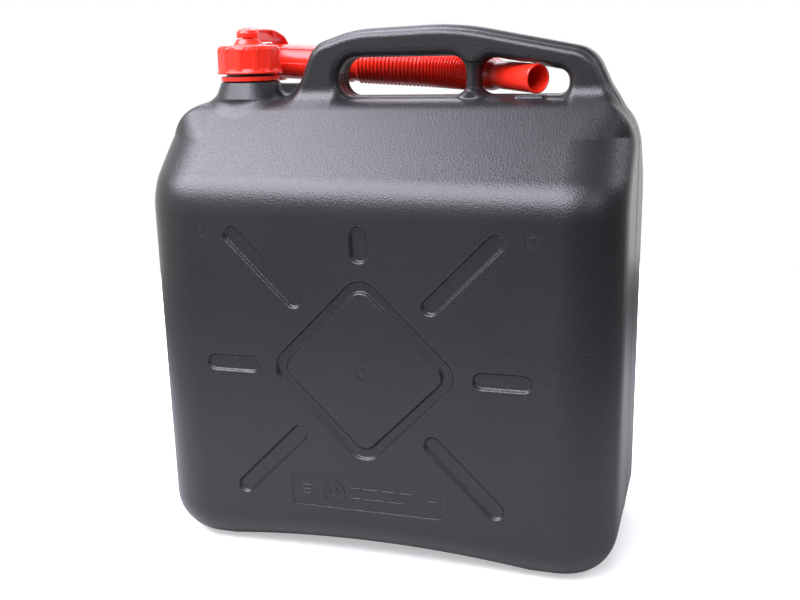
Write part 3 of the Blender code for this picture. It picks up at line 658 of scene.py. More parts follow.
def make_shell():
    """The black shell, with its grid finest where its detail is."""
    x_lines = graded(
        (-0.188, -0.1730, 0.0012),
        (-0.1730, -0.1470, 0.0020),
        (-0.1470, 0.1280, 0.00085),
        (0.1280, 0.1810, 0.0018),
        (0.1810, 0.1970, 0.0012),
    )
    half_y = (
        (0.0, 0.0220, 0.0009),
        (0.0220, 0.0540, 0.0020),
        (0.0540, 0.0670, 0.0013),
        (0.0670, 0.0850, 0.0020),
        (0.0850, 0.0930, 0.0010),
    )
    positive = graded(*half_y)
    y_lines = np.concatenate((-positive[:0:-1], positive))
    z_lines = graded(
        (-0.004, 0.0440, 0.0020),
        (0.0440, 0.2750, 0.00085),
        (0.2750, 0.3380, 0.0018),
        (0.3380, 0.4180, 0.0009),
    )
    y_lines = y_lines + 0.00003
    return moulded("can_shell", shell_field, x_lines, y_lines, z_lines, 300000)


def set_on(obj, bodies, replaced=None, ends=None):
    """Moves a finished piece into the frame and sets it on its body, or bakes its place in where ends are given, and
    hides the imported part that it replaces, if one is given.
    """
    obj.data.transform(Matrix.Translation(MOULD_SHIFT))
    if ends is None:
        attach(obj, bodies)
    else:
        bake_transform(obj)
    if replaced is not None:
        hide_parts(replaced)
    return obj


shell = set_on(make_shell(), "can", "can_body")


# Red pieces


def swept(name, rings, close_rings=False):
    """A grid mesh through equal rings of points, closed at its ends unless the rings join up."""
    vertices = np.array([[tuple(point) for point in ring] for ring in rings], float)
    rows, columns = vertices.shape[:2]
    index = np.arange(rows * columns).reshape(rows, columns)
    if close_rings:
        index = np.vstack((index, index[:1]))
    across = np.roll(index, -1, axis=1)
    quads = np.stack((index[:-1], across[:-1], across[1:], index[1:]), -1).reshape(-1, 4)
    obj = link_mesh(name, vertices.reshape(-1, 3), quads)
    if not close_rings:
        close_ends(obj)
    return obj


def close_ends(obj):
    """Fills the open ends of a swept mesh and makes its faces point outwards."""
    import bmesh

    bm = bmesh.new()
    bm.from_mesh(obj.data)
    loose = [edge for edge in bm.edges if edge.is_boundary]
    bmesh.ops.holes_fill(bm, edges=loose)
    bmesh.ops.recalc_face_normals(bm, faces=bm.faces)
    bm.to_mesh(obj.data)
    bm.free()


def shaded(obj, sharp_degrees=38):
    """Smooth shading with sharp edges kept."""
    obj.data.shade_smooth()
    obj.data.set_sharp_from_angle(angle=math.radians(sharp_degrees))
    return obj


def joined(name, parts):
    """One object from several, with its faces pointing outwards."""
    import bmesh

    bm = bmesh.new()
    for part in parts:
        bm.from_mesh(part.data)
        bpy.data.objects.remove(part, do_unlink=True)
    bmesh.ops.recalc_face_normals(bm, faces=bm.faces)
    mesh = bpy.data.meshes.new(name)
    bm.to_mesh(mesh)
    bm.free()
    obj = bpy.data.objects.new(name, mesh)
    bpy.context.scene.collection.objects.link(obj)
    return shaded(obj, 40)


def along_profile(points, spacing):
    """Points along a broken line, close enough together for fine relief."""
    dense = [points[0]]
    for start, end in zip(points, points[1:]):
        length = math.dist(start, end)
        count = max(1, math.ceil(length / spacing))
        for i in range(1, count + 1):
            share = i / count
            dense.append(tuple(a + (b - a) * share for a, b in zip(start, end)))
    return dense


# Screw cap
CAP_PANELS = 12
CAP_BORE = 0.0217
CAP_SKIRT = 0.0258
CAP_LIP = CAP_HIGH.y
CAP_HEIGHT = 0.0223
PANEL_DEPTH = 0.0006
PANEL_TOP = 0.0188
PANEL_LOW = 0.0026
PANEL_HALF = 0.0053
CAP_FIRST_PANEL = math.radians(-98)


def cap_profile():
    """Closed (radius, height) profile of the cap, from the roof inside to the stud outside."""
    roof = 0.0183
    inside = [(0.0, roof), (CAP_BORE, roof), (CAP_BORE, 0.0004), (CAP_BORE + 0.0005, 0.0)]
    lip = [(CAP_LIP - 0.0004, 0.0), (CAP_LIP, 0.0004), (CAP_LIP, 0.0013), (CAP_SKIRT + 0.0002, 0.0018)]
    skirt = [(CAP_SKIRT, 0.0022), (CAP_SKIRT - 0.0002, 0.0181)]
    shoulder = []
    radius = 0.0042
    for i in range(1, 9):
        angle = math.pi / 2 * i / 8
        out = CAP_SKIRT - 0.0002 - radius * (1 - math.cos(angle))
        shoulder.append((out, CAP_HEIGHT - radius * (1 - math.sin(angle))))
    turret = [
        (0.0136, CAP_HEIGHT + 0.0001),
        (0.0125, CAP_HEIGHT + 0.0005),
        (0.0117, CAP_HEIGHT + 0.0013),
        (0.0092, CAP_HEIGHT + 0.0047),
        (0.0088, CAP_HEIGHT + 0.0050),
        (0.0046, CAP_HEIGHT + 0.0050),
        (0.0046, CAP_HEIGHT + 0.0076),
        (0.0056, CAP_HEIGHT + 0.0081),
        (0.0038, CAP_HEIGHT + 0.0097),
        (0.0, CAP_HEIGHT + 0.0098),
    ]
    return along_profile(inside + lip + skirt + shoulder + turret, 0.0007)


def panel_sink(radius, height, angle):
    """How far the cap's skirt sinks in one of its broad panels with arched tops."""
    pitch = 2 * math.pi / CAP_PANELS
    from_middle = (angle - CAP_FIRST_PANEL + pitch / 2) % pitch - pitch / 2
    across = abs(from_middle) * CAP_SKIRT
    arch = PANEL_TOP + 0.0024 - 0.0046 * (across / PANEL_HALF) ** 2
    inside = min(PANEL_HALF - across, arch - height, height - PANEL_LOW)
    share = min(1.0, max(0.0, inside / 0.0013))
    share = share * share * (3 - 2 * share)
    hollow = 0.75 + 0.25 * (1 - (across / PANEL_HALF) ** 2)
    return PANEL_DEPTH * share * hollow


def make_cap():
    """The ribbed cap with its turret and the stud that the strap's cup turns on."""
    steps = 432
    rings = []
    for radius, height in cap_profile():
        ring = []
        outside = radius > CAP_BORE + 0.001 and height > 0.0018
        for i in range(steps):
            angle = 2 * math.pi * i / steps
            here = radius - (panel_sink(radius, height, angle) if outside else 0.0)
            here = max(here, 0.0003)
            ring.append((NECK_X + here * math.cos(angle), here * math.sin(angle), CAP_LOW.z + height))
        rings.append(ring)
    return shaded(swept("cap_moulding", rings), 50)


def cup_field(x, y, z):
    """The strap's cup: a low collar with a wedge head that runs into the strap."""
    off = np.hypot(x - NECK_X, y)
    collar = round_max(off - 0.0092, z - (CUP_LOW.z + 0.0042), 0.0008)
    collar = round_max(collar, CUP_LOW.z - z, 0.0002)
    head_top = z - (CUP_HIGH.z + 0.0004 - 0.50 * np.maximum(off - 0.0036, 0.0))
    head = round_max(off - 0.0087, head_top, 0.0012)
    head = round_max(head, CUP_LOW.z + 0.0008 - z, 0.0004)
    root = rounded_box(x - NECK_X, z - (CUP_HIGH.z - 0.0017), 0.0049, 0.0012, 0.0007)
    root = np.maximum(root, np.abs(y - 0.0055) - 0.0040)
    cup = smooth_union(smooth_union(collar, head, 0.0010), root, 0.0016)
    pocket = np.where(z < CUP_LOW.z + 0.0019, off - 0.0051, off - 0.0062)
    pocket = np.maximum(pocket, z - (CUP_LOW.z + 0.0050))
    return np.maximum(cup, -pocket)


def make_cup():
    """The cup that snaps over the cap's stud."""
    spacing = 0.00035
    xs = even(NECK_X - 0.0110, NECK_X + 0.0110, spacing)
    ys = even(-0.0110, 0.0110, spacing)
    zs = even(CUP_LOW.z - 0.0010, CUP_HIGH.z + 0.0015, spacing * 0.8)
    return moulded("strap_cup", cup_field, xs, ys, zs, 16000)


WEB_FLOOR_Z = CUP_LOW.z - 0.0036


def strap_path():
    """Centre line of the strap in (y, z), from the ring's tab round the spout to the cup."""
    spout_z = SPOUT_Z_AT_CENTRE + SPOUT_RISE * NECK_X
    start = (0.0324, RING_LOW.z + 0.0011)
    path = [start, (SPOUT_Y - 0.004, RING_LOW.z - 0.0011)]
    for i in range(17):
        angle = math.radians(-65 + 137 * i / 16)
        path.append((SPOUT_Y + 0.0195 * math.cos(angle), spout_z + 0.0020 + 0.0195 * math.sin(angle)))
    high = CUP_HIGH.z - 0.0020
    path += [(0.040, high - 0.0004), (0.024, high + 0.0004), (CUP_HIGH.y + 0.0002, high)]
    return smooth_path(path)


def smooth_path(path):
    """A finely divided smooth curve through the given points."""
    points = [Vector(point) for point in path]
    points = [2 * points[0] - points[1]] + points + [2 * points[-1] - points[-2]]
    smooth = []
    for before, start, end, after in zip(points, points[1:], points[2:], points[3:]):
        count = max(2, math.ceil((end - start).length / 0.0012))
        for i in range(count):
            t = i / count
            curve = (
                2 * start
                + (end - before) * t
                + (2 * before - 5 * start + 4 * end - after) * t**2
                + (3 * start - before - 3 * end + after) * t**3
            )
            smooth.append(curve / 2)
    smooth.append(points[-2])
    return smooth


def make_strap():
    """The strap as a flat moulded ribbon, widest where it bends round the spout."""
    path = strap_path()
    rear_y = max(point.x for point in path)
    rings = []
    count = len(path)
    for i, point in enumerate(path):
        ahead = path[min(i + 1, count - 1)]
        behind = path[max(i - 1, 0)]
        along = (ahead - behind).normalized()
        normal = Vector((-along.y, along.x))
        reach = min(1.0, max(0.0, (point.x - 0.018) / (rear_y - 0.018)))
        half = 0.0044 + 0.0030 * reach * reach * (3 - 2 * reach)
        ring = []
        for k in range(24):
            angle = 2 * math.pi * k / 24
            wide = math.copysign(abs(math.cos(angle)) ** 0.35, math.cos(angle))
            thick = math.copysign(abs(math.sin(angle)) ** 0.6, math.sin(angle))
            bead = 1.0 + 0.35 * min(1.0, abs(wide) ** 6)
            off = normal * (0.00085 * thick * bead)
            ring.append((NECK_X + half * wide, point.x + off.x, point.y + off.y))
        rings.append(ring)
    ribbon = swept("strap_ribbon", rings)
    return shaded(joined("strap_ribbon", [ribbon, make_strap_web(path)]), 60)


def make_strap_web(path):
    """The upright web that stiffens the strap between its cup and the stowed spout."""
    spout_z = SPOUT_Z_AT_CENTRE + SPOUT_RISE * NECK_X
    rings = []
    for point in path:
        if point.y < CAP_HIGH.z - 0.001 or point.x > SPOUT_Y + 0.002:
            continue
        over = max(0.0, (INLET_RADIUS + 0.0009) ** 2 - (point.x - SPOUT_Y) ** 2)
        floor = max(WEB_FLOOR_Z, spout_z + math.sqrt(over) if over > 0 else WEB_FLOOR_Z)
        top = point.y + 0.0002
        floor = min(floor, top - 0.0010)
        ring = []
        for k in range(12):
            angle = 2 * math.pi * (k + 0.5) / 12
            wide = math.copysign(abs(math.cos(angle)) ** 0.5, math.cos(angle))
            high = math.copysign(abs(math.sin(angle)) ** 0.5, math.sin(angle))
            ring.append((NECK_X + 0.0013 * wide, point.x, (top + floor) / 2 + (top - floor) / 2 * high))
        rings.append(ring)
    return swept("strap_web", rings)


def ring_field(x, y, z):
    """The keeper ring with its tab."""
    off = np.hypot(x - NECK_X, y)
    middle_z = (RING_LOW.z + RING_HIGH.z) / 2
    half_height = (RING_HIGH.z - RING_LOW.z) / 2
    band = rounded_box(off - 0.0217, z - middle_z, 0.0019, half_height, 0.0007)
    tab = rounded_box(y - 0.0270, z - (RING_LOW.z + 0.0013), 0.0048, 0.0012, 0.0006)
    tab = round_max(tab, np.abs(x - NECK_X) - 0.0046, 0.0008)
    return np.maximum(smooth_union(band, tab, 0.0015), 0.0198 - off)


def make_ring():
    """The keeper ring under the cap."""
    spacing = 0.00045
    xs = even(NECK_X - 0.0250, NECK_X + 0.0250, spacing)
    ys = even(-0.0250, 0.0335, spacing)
    zs = even(RING_LOW.z - 0.0008, RING_HIGH.z + 0.0008, spacing * 0.7)
    return moulded("keeper_ring", ring_field, xs, ys, zs, 26000)


INLET_PLACE, INLET_WAY = spout_axis(INLET_LOW.x - BEND_START_X)
INLET_LENGTH = (HOSE_START_X - INLET_LOW.x) / INLET_WAY.x


RECESS_TILT_SIN = math.sin(math.radians(24.0))
RECESS_TILT_COS = math.cos(math.radians(24.0))


def inlet_field(x, y, z):
    """The rigid inlet tube with its long recess, its seal groove and a step before the hose."""
    along, off = along_and_off(x, y, z, INLET_PLACE, INLET_WAY)
    step = 0.0012 * smoothstep((along - (INLET_LENGTH - 0.0070)) / 0.0016)
    outer = round_max(off - (INLET_RADIUS - step), -(along - 0.0009), 0.0008)
    outer = round_max(outer, along - (INLET_LENGTH - 0.0002), 0.0004)
    groove = np.maximum(np.abs(along - 0.0052) - 0.0014, 0.0134 - off)
    outer = round_max(outer, -groove, 0.0002)
    middle = INLET_LENGTH * 0.515
    spine_z = SPOUT_Z_AT_CENTRE + SPOUT_RISE * x
    across = (y - SPOUT_Y) * RECESS_TILT_SIN + (z - spine_z) * RECESS_TILT_COS
    outward = (z - spine_z) * RECESS_TILT_SIN - (y - SPOUT_Y) * RECESS_TILT_COS
    slot = np.hypot(np.maximum(np.abs(along - middle) - 0.0270, 0.0), across) - 0.0062
    slot = np.maximum(np.maximum(slot, INLET_RADIUS - 0.0010 - off), -outward)
    outer = round_max(outer, -slot, 0.0006)
    bore = INLET_BORE - 0.0020 * smoothstep((along - 0.0100) / 0.0060)
    return np.maximum(outer, bore - off)


def make_inlet():
    """The rigid inlet end of the spout."""
    spacing = 0.0006
    xs = even(INLET_LOW.x - 0.0020, INLET_HIGH.x + 0.0020, spacing)
    ys = even(INLET_LOW.y - 0.0015, INLET_HIGH.y + 0.0015, spacing)
    zs = even(INLET_LOW.z - 0.0015, INLET_HIGH.z + 0.0015, spacing)
    return moulded("inlet_tube", inlet_field, xs, ys, zs, 60000)


OUTLET_PLACE, OUTLET_WAY = spout_axis(BEND_LENGTH)


def outlet_field(x, y, z):
    """The rigid outlet: a cuff that tapers into the tube, with a thin rim and a notch at its mouth."""
    along, off = along_and_off(x, y, z, OUTLET_PLACE, OUTLET_WAY)
    taper = smoothstep((along - 0.0040) / 0.0130)
    radius = CUFF_RADIUS + (OUTLET_RADIUS - CUFF_RADIUS) * taper
    bead = 0.0004 * smoothstep(1.0 - np.abs(along - (OUTLET_LENGTH - 0.0012)) / 0.0012)
    outer = round_max(off - radius - bead, along - OUTLET_LENGTH, 0.0006)
    outer = round_max(outer, -(along + 0.0080), 0.0006)
    bore = np.maximum(OUTLET_BORE - off, -0.001)
    rear = round_max(off - CUFF_RADIUS + 0.0018, along - 0.0040, 0.0010)
    tube = round_max(outer, OUTLET_BORE - off, 0.0006)
    tube = round_max(tube, -rear, 0.0008)
    notch = np.hypot(z - OUTLET_MOUTH.z - OUTLET_RADIUS * 0.80, y - OUTLET_MOUTH.y + 0.001) - 0.0012
    notch = np.maximum(notch, OUTLET_LENGTH - 0.0022 - along)
    return round_max(tube, -notch, 0.0005)


OUTLET_MOUTH, _ = spout_axis(BEND_LENGTH + OUTLET_LENGTH)


def make_outlet():
    """The rigid outlet that is stowed through the handle."""
    spacing = 0.0005
    xs = even(OUTLET_LOW.x - 0.0090, OUTLET_HIGH.x + 0.0015, spacing)
    ys = even(OUTLET_LOW.y - 0.0015, OUTLET_HIGH.y + 0.0085, spacing)
    zs = even(OUTLET_LOW.z - 0.0015, OUTLET_HIGH.z + 0.0025, spacing)
    return moulded("outlet_tube", outlet_field, xs, ys, zs, 50000)


def hose_ring(distance, radius, steps):
    """One ring of the hose, square to its centre line."""
    place, direction = spout_axis(distance)
    side = direction.cross(Vector((0, 0, 1))).normalized()
    up = side.cross(direction)
    ring = []
    for i in range(steps):
        angle = 2 * math.pi * i / steps
        ring.append(place + side * (radius * math.cos(angle)) + up * (radius * math.sin(angle)))
    return ring


def make_hose():
    """The corrugated hose with its fine round ridges, and its plain bore."""
    steps = 72
    per_ridge = 10
    start = HOSE_START_X - BEND_START_X - 0.0002
    rows = HOSE_RIDGES * per_ridge
    rings = [hose_ring(start, HOSE_BORE, steps)]
    for i in range(rows + 1):
        phase = i / per_ridge
        wave = abs(math.cos(math.pi * phase)) ** 1.6
        radius = HOSE_RADIUS - HOSE_GROOVE * wave
        rings.append(hose_ring(start + (HOSE_END - start) * i / rows, radius, steps))
    for i in range(rows // 4 + 1):
        rings.append(hose_ring(HOSE_END + (start - HOSE_END) * i / (rows // 4), HOSE_BORE, steps))
    rings.pop()
    return shaded(swept("hose_bellows", rings, close_rings=True), 70)


cap = set_on(make_cap(), "cap", "screw_cap")
cup = set_on(make_cup(), "strap_head", "strap_eyelet")
STRAP_ENDS = ((NECK_X, 0.034, RING_LOW.z), (NECK_X, 0.034, WEB_FLOOR_Z))
strap = set_on(make_strap(), ("ring", "strap_head"), "strap_band", STRAP_ENDS)
keeper = set_on(make_ring(), "ring", "neck_ring")
inlet = set_on(make_inlet(), "inlet", "spout_inlet")
outlet = set_on(make_outlet(), "spout", "spout_outlet")
HOSE_BLEND_ENDS = (spout_axis(HOSE_END - 0.004)[0], spout_axis(HOSE_START_X - BEND_START_X + 0.003)[0])
hose = set_on(make_hose(), ("spout", "inlet"), "spout_hose", HOSE_BLEND_ENDS)


# Label marks: a plain ring and bars that stand for the moulded print


def bar_points(x, z, half_x, half_z, height):
    """Rings of one low bar with round corners and a bevelled top, standing on the label's panel."""
    rings = []
    floor = -HALF_DEPTH + LABEL_DEPTH
    for lift, grow in ((-0.0004, 0.0), (height * 0.6, 0.0), (height, -0.00018)):
        ring = []
        for i in range(16):
            angle = 2 * math.pi * (i + 0.5) / 16
            out_x = half_x + grow - 0.0003 + 0.0003 * abs(math.cos(angle))
            out_z = half_z + grow - 0.0003 + 0.0003 * abs(math.sin(angle))
            point_x = x + math.copysign(out_x, math.cos(angle))
            point_z = z + math.copysign(out_z, math.sin(angle))
            ring.append((point_x, floor - lift, point_z))
        rings.append(ring)
    return rings


def disc_ring_points(x, z, radius, half, height):
    """Rings of a low raised circle."""
    floor = -HALF_DEPTH + LABEL_DEPTH
    section = (
        (radius - half, -0.0004),
        (radius - half, height * 0.6),
        (radius - half * 0.5, height),
        (radius + half * 0.5, height),
        (radius + half, height * 0.6),
        (radius + half, -0.0004),
    )
    rings = []
    for i in range(64):
        angle = 2 * math.pi * i / 64
        ring = []
        for out, lift in section:
            ring.append((x + out * math.cos(angle), floor - lift, z + out * math.sin(angle)))
        rings.append(ring)
    return rings


LABEL_MARK_HEIGHT = 0.0005
LABEL_BARS = (
    (-0.050, 0.0035, 0.0035, 0.0007),
    (-0.050, 0.0000, 0.0035, 0.0007),
    (-0.050, -0.0035, 0.0035, 0.0007),
    (-0.0095, 0.0042, 0.0045, 0.0009),
    (0.0030, 0.0042, 0.0060, 0.0009),
    (0.0180, 0.0042, 0.0060, 0.0009),
    (0.0320, 0.0042, 0.0050, 0.0009),
    (-0.0095, -0.0042, 0.0045, 0.0009),
    (0.0060, -0.0042, 0.0085, 0.0009),
    (0.0235, -0.0042, 0.0065, 0.0009),
    (0.0530, 0.0000, 0.0030, 0.0009),
)
LABEL_CIRCLES = ((-0.028, 0.0, 0.0088, 0.0005), (-0.028, 0.0, 0.0035, 0.0005))


def make_label_marks():
    """All the raised marks on the label's panel as one piece."""
    parts = []
    for x, z, half_x, half_z in LABEL_BARS:
        parts.append(swept("bar", bar_points(x, LABEL_Z + z, half_x, half_z, LABEL_MARK_HEIGHT)))
    for x, z, radius, half in LABEL_CIRCLES:
        rings = disc_ring_points(x, LABEL_Z + z, radius, half, LABEL_MARK_HEIGHT)
        parts.append(swept("circle", rings, close_rings=True))
    return joined("label_marks", parts)


marks = set_on(make_label_marks(), "can")


# Materials


def new_material(name):
    """A node material, its tree and its main shader."""
    material = bpy.data.materials.new(name)
    material.use_nodes = True
    tree = material.node_tree
    return material, tree, tree.nodes["Principled BSDF"]


def noise(tree, places, scale, detail, roughness=0.5):
    """A noise texture node on the given coordinates."""
    node = tree.nodes.new("ShaderNodeTexNoise")
    node.inputs["Scale"].default_value = scale
    node.inputs["Detail"].default_value = detail
    node.inputs["Roughness"].default_value = roughness
    tree.links.new(places, node.inputs["Vector"])
    return node


def blend_values(tree, source, low, high):
    """Maps a 0 to 1 value onto a range."""
    node = tree.nodes.new("ShaderNodeMapRange")
    node.inputs["To Min"].default_value = low
    node.inputs["To Max"].default_value = high
    tree.links.new(source, node.inputs["Value"])
    return node.outputs["Result"]


def blend_colours(tree, source, first, second):
    """Mixes two colours by a 0 to 1 value."""
    node = tree.nodes.new("ShaderNodeMix")
    node.data_type = "RGBA"
    node.inputs["A"].default_value = (*first, 1.0)
    node.inputs["B"].default_value = (*second, 1.0)
    tree.links.new(source, node.inputs["Factor"])
    return node.outputs["Result"]


def bump(tree, height, distance, strength, onto=None):
    """A bump node, on top of another if given."""
    node = tree.nodes.new("ShaderNodeBump")
    node.inputs["Distance"].default_value = distance
    node.inputs["Strength"].default_value = strength
    tree.links.new(height, node.inputs["Height"])
    if onto is not None:
        tree.links.new(onto, node.inputs["Normal"])
    return node.outputs["Normal"]


def grained_black():
    """Black polyethylene with the leathery grain of a blow mould."""
    material, tree, shader = new_material("black_polyethylene")
    places = tree.nodes.new("ShaderNodeTexCoord").outputs["Object"]
    broad = noise(tree, places, 14.0, 3.0)
    pebble = tree.nodes.new("ShaderNodeTexVoronoi")
    pebble.feature = "SMOOTH_F1"
    pebble.inputs["Scale"].default_value = 900.0
    pebble.inputs["Smoothness"].default_value = 0.7
    warp = noise(tree, places, 260.0, 2.0)
    mixed = tree.nodes.new("ShaderNodeMix")
    mixed.data_type = "VECTOR"
    mixed.inputs["Factor"].default_value = 0.0016
    tree.links.new(places, mixed.inputs["A"])
    tree.links.new(warp.outputs["Color"], mixed.inputs["B"])
    tree.links.new(mixed.outputs["Result"], pebble.inputs["Vector"])
    fine = noise(tree, places, 1100.0, 2.0)
    soft = noise(tree, places, 38.0, 2.0)
    colour = blend_colours(tree, broad.outputs["Fac"], (0.0105, 0.0106, 0.0114), (0.0145, 0.0146, 0.0155))
    tree.links.new(colour, shader.inputs["Base Color"])
    rough = blend_values(tree, broad.outputs["Fac"], 0.29, 0.37)
    tree.links.new(rough, shader.inputs["Roughness"])
    waves = bump(tree, soft.outputs["Fac"], 0.0010, 0.10)
    grain = bump(tree, pebble.outputs["Distance"], 0.00035, 0.45, waves)
    tree.links.new(bump(tree, fine.outputs["Fac"], 0.00008, 0.30, grain), shader.inputs["Normal"])
    shader.inputs["IOR"].default_value = 1.50
    return material


def glossy_red():
    """Red injection-moulded plastic, glossy with a faint unevenness."""
    material, tree, shader = new_material("red_moulded")
    places = tree.nodes.new("ShaderNodeTexCoord").outputs["Object"]
    broad = noise(tree, places, 45.0, 3.0)
    fine = noise(tree, places, 900.0, 2.0)
    colour = blend_colours(tree, broad.outputs["Fac"], (0.80, 0.020, 0.009), (0.90, 0.030, 0.013))
    tree.links.new(colour, shader.inputs["Base Color"])
    rough = blend_values(tree, broad.outputs["Fac"], 0.20, 0.30)
    tree.links.new(rough, shader.inputs["Roughness"])
    waves = bump(tree, broad.outputs["Fac"], 0.0006, 0.15)
    tree.links.new(bump(tree, fine.outputs["Fac"], 0.00005, 0.15, waves), shader.inputs["Normal"])
    shader.inputs["IOR"].default_value = 1.50
    shader.inputs["Subsurface Weight"].default_value = 0.08
    shader.inputs["Subsurface Radius"].default_value = (0.004, 0.0008, 0.0005)
    return material


def dull_rubber():
    """Dull black rubber for the seals."""
    material, tree, shader = new_material("dull_rubber")
    places = tree.nodes.new("ShaderNodeTexCoord").outputs["Object"]
    fine = noise(tree, places, 700.0, 3.0)
    colour = blend_colours(tree, fine.outputs["Fac"], (0.012, 0.012, 0.012), (0.024, 0.024, 0.025))
    tree.links.new(colour, shader.inputs["Base Color"])
    rough = blend_values(tree, fine.outputs["Fac"], 0.55, 0.70)
    tree.links.new(rough, shader.inputs["Roughness"])
    tree.links.new(bump(tree, fine.outputs["Fac"], 0.0001, 0.3), shader.inputs["Normal"])
    return material


def give(obj, material):
    """Puts one material on an object."""
    obj.data.materials.clear()
    obj.data.materials.append(material)


black = grained_black()
red = glossy_red()
rubber = dull_rubber()
for piece in (shell, marks):
    give(piece, black)
for piece in (cap, cup, strap, keeper, inlet, outlet, hose):
    give(piece, red)
for node in ("cap_gasket", "spout_seal"):
    give(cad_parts[node], rubber)


# Camera


def aim_camera():
    """The camera at the reference view: in front, a little to the right and above, slightly rolled."""
    yaw = math.radians(17.71)
    pitch = math.radians(14.20)
    roll = math.radians(-1.41)
    back = Vector((math.sin(yaw) * math.cos(pitch), -math.cos(yaw) * math.cos(pitch), math.sin(pitch)))
    right = Vector((math.cos(yaw), math.sin(yaw), 0.0))
    up = back.cross(right)
    turned_right = right * math.cos(roll) + up * math.sin(roll)
    turned_up = up * math.cos(roll) - right * math.sin(roll)
    data = bpy.data.cameras.new("camera")
    data.sensor_width = 36.0
    data.lens = 46.12
    data.clip_start = 0.01
    camera = bpy.data.objects.new("camera", data)
    bpy.context.scene.collection.objects.link(camera)
    facing = Matrix((turned_right, turned_up, back)).transposed().to_4x4()
    place = Vector((0.25284, -0.78372, 0.40314)) + MOULD_SHIFT
    camera.matrix_world = Matrix.Translation(place) @ facing
    bpy.context.scene.camera = camera


# Studio

STUDIO_TINT = (0.97, 0.95, 1.10)


def softbox(name, toward, distance, size, strength):
    """A square area light that shines on the middle of the can."""
    data = bpy.data.lights.new(name, "AREA")
    data.shape = "RECTANGLE"
    data.size = size[0]
    data.size_y = size[1]
    data.energy = strength * size[0] * size[1] * math.pi
    data.color = STUDIO_TINT
    light = bpy.data.objects.new(name, data)
    bpy.context.scene.collection.objects.link(light)
    middle = Vector((0.0, 0.0, 0.22))
    way = Vector(toward).normalized()
    light.location = middle + way * distance
    light.rotation_euler = way.to_track_quat("Z", "Y").to_euler()
    light.visible_camera = False
    return light


def make_world():
    """White to the camera; to everything else a soft room, bright behind and to the left, dark in front."""
    world = bpy.data.worlds.new("studio")
    bpy.context.scene.world = world
    world.use_nodes = True
    tree = world.node_tree
    tree.nodes.clear()
    out = tree.nodes.new("ShaderNodeOutputWorld")
    mix = tree.nodes.new("ShaderNodeMixShader")
    seen = tree.nodes.new("ShaderNodeBackground")
    lit = tree.nodes.new("ShaderNodeBackground")
    ray = tree.nodes.new("ShaderNodeLightPath")
    seen.inputs["Color"].default_value = (1.0, 1.0, 1.0, 1.0)
    seen.inputs["Strength"].default_value = 1.0
    places = tree.nodes.new("ShaderNodeTexCoord").outputs["Generated"]
    brightness = None
    for direction, low, high, strength in WORLD_LOBES:
        dot = tree.nodes.new("ShaderNodeVectorMath")
        dot.operation = "DOT_PRODUCT"
        dot.inputs[1].default_value = Vector(direction).normalized()
        tree.links.new(places, dot.inputs[0])
        ramp = tree.nodes.new("ShaderNodeMapRange")
        ramp.interpolation_type = "SMOOTHSTEP"
        ramp.inputs["From Min"].default_value = low
        ramp.inputs["From Max"].default_value = high
        ramp.inputs["To Min"].default_value = 0.0
        ramp.inputs["To Max"].default_value = strength
        tree.links.new(dot.outputs["Value"], ramp.inputs["Value"])
        if brightness is None:
            brightness = ramp.outputs["Result"]
            continue
        total = tree.nodes.new("ShaderNodeMath")
        total.operation = "ADD"
        tree.links.new(brightness, total.inputs[0])
        tree.links.new(ramp.outputs["Result"], total.inputs[1])
        brightness = total.outputs["Value"]
    base = tree.nodes.new("ShaderNodeMath")
    base.operation = "ADD"
    base.inputs[1].default_value = WORLD_BASE
    tree.links.new(brightness, base.inputs[0])
    tree.links.new(base.outputs["Value"], lit.inputs["Strength"])
    lit.inputs["Color"].default_value = (1.0, 1.0, 1.0, 1.0)
    tree.links.new(ray.outputs["Is Camera Ray"], mix.inputs["Fac"])
    tree.links.new(lit.outputs["Background"], mix.inputs[1])
    tree.links.new(seen.outputs["Background"], mix.inputs[2])
    tree.links.new(mix.outputs["Shader"], out.inputs["Surface"])


WORLD_BASE = 0.10
WORLD_LOBES = (
    ((0.0, 1.0, -0.1), 0.1, 0.9, 1.1),
    ((-0.9, -0.4, 0.0), 0.2, 0.9, 0.7),
)
FLOOR_RADIUS = 1.1


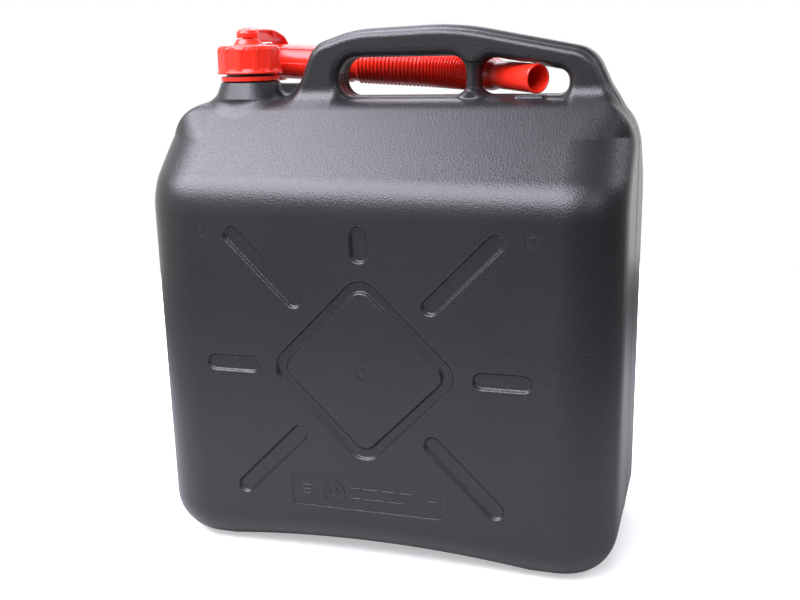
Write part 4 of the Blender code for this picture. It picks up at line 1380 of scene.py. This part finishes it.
def make_floor():
    """A round pale floor. It looks white to its rim, and its glow on the can fades with distance."""
    steps = 96
    turns = 2 * math.pi * np.arange(steps) / steps
    rim = np.stack((FLOOR_RADIUS * np.cos(turns), FLOOR_RADIUS * np.sin(turns), np.zeros(steps)), 1)
    floor = link_mesh("floor", rim, np.arange(steps)[None, :])
    material, tree, shader = new_material("pale_floor")
    places = tree.nodes.new("ShaderNodeTexCoord").outputs["Object"]
    away = tree.nodes.new("ShaderNodeVectorMath")
    away.operation = "LENGTH"
    tree.links.new(places, away.inputs[0])
    fade = tree.nodes.new("ShaderNodeMapRange")
    fade.interpolation_type = "SMOOTHSTEP"
    fade.inputs["From Min"].default_value = 0.35
    fade.inputs["From Max"].default_value = 0.95
    tree.links.new(away.outputs["Value"], fade.inputs["Value"])
    share = fade.outputs["Result"]
    tree.links.new(blend_colours(tree, share, (0.80, 0.80, 0.80), (0.90, 0.90, 0.90)), shader.inputs["Base Color"])
    shader.inputs["Roughness"].default_value = 0.7
    shader.inputs["Specular IOR Level"].default_value = 0.0
    shader.inputs["Emission Color"].default_value = (1.0, 1.0, 1.0, 1.0)
    tree.links.new(blend_values(tree, share, 0.45, 1.0), shader.inputs["Emission Strength"])
    glow = tree.nodes.new("ShaderNodeBsdfDiffuse")
    tree.links.new(blend_colours(tree, share, (0.50, 0.50, 0.50), (0.05, 0.05, 0.05)), glow.inputs["Color"])
    ray = tree.nodes.new("ShaderNodeLightPath")
    mix = tree.nodes.new("ShaderNodeMixShader")
    tree.links.new(ray.outputs["Is Camera Ray"], mix.inputs["Fac"])
    tree.links.new(glow.outputs["BSDF"], mix.inputs[1])
    tree.links.new(shader.outputs["BSDF"], mix.inputs[2])
    tree.links.new(mix.outputs["Shader"], tree.nodes["Material Output"].inputs["Surface"])
    give(floor, material)


make_world()
make_floor()
softbox("key", (-0.30, -0.50, 0.78), 1.6, (2.5, 1.00), 10.2)
softbox("overhead", (-0.33, 0.16, 0.93), 1.6, (1.3, 0.70), 5.2)
softbox("back_top", (-0.33, 0.68, 0.66), 1.8, (1.0, 0.6), 4.0)
softbox("right_front", (0.70, -0.48, 0.50), 1.6, (0.30, 0.55), 5.0)
softbox("right_back", (0.77, 0.17, 0.62), 1.6, (0.30, 0.55), 6.0)
bpy.context.scene.view_settings.view_transform = "Standard"
aim_camera()
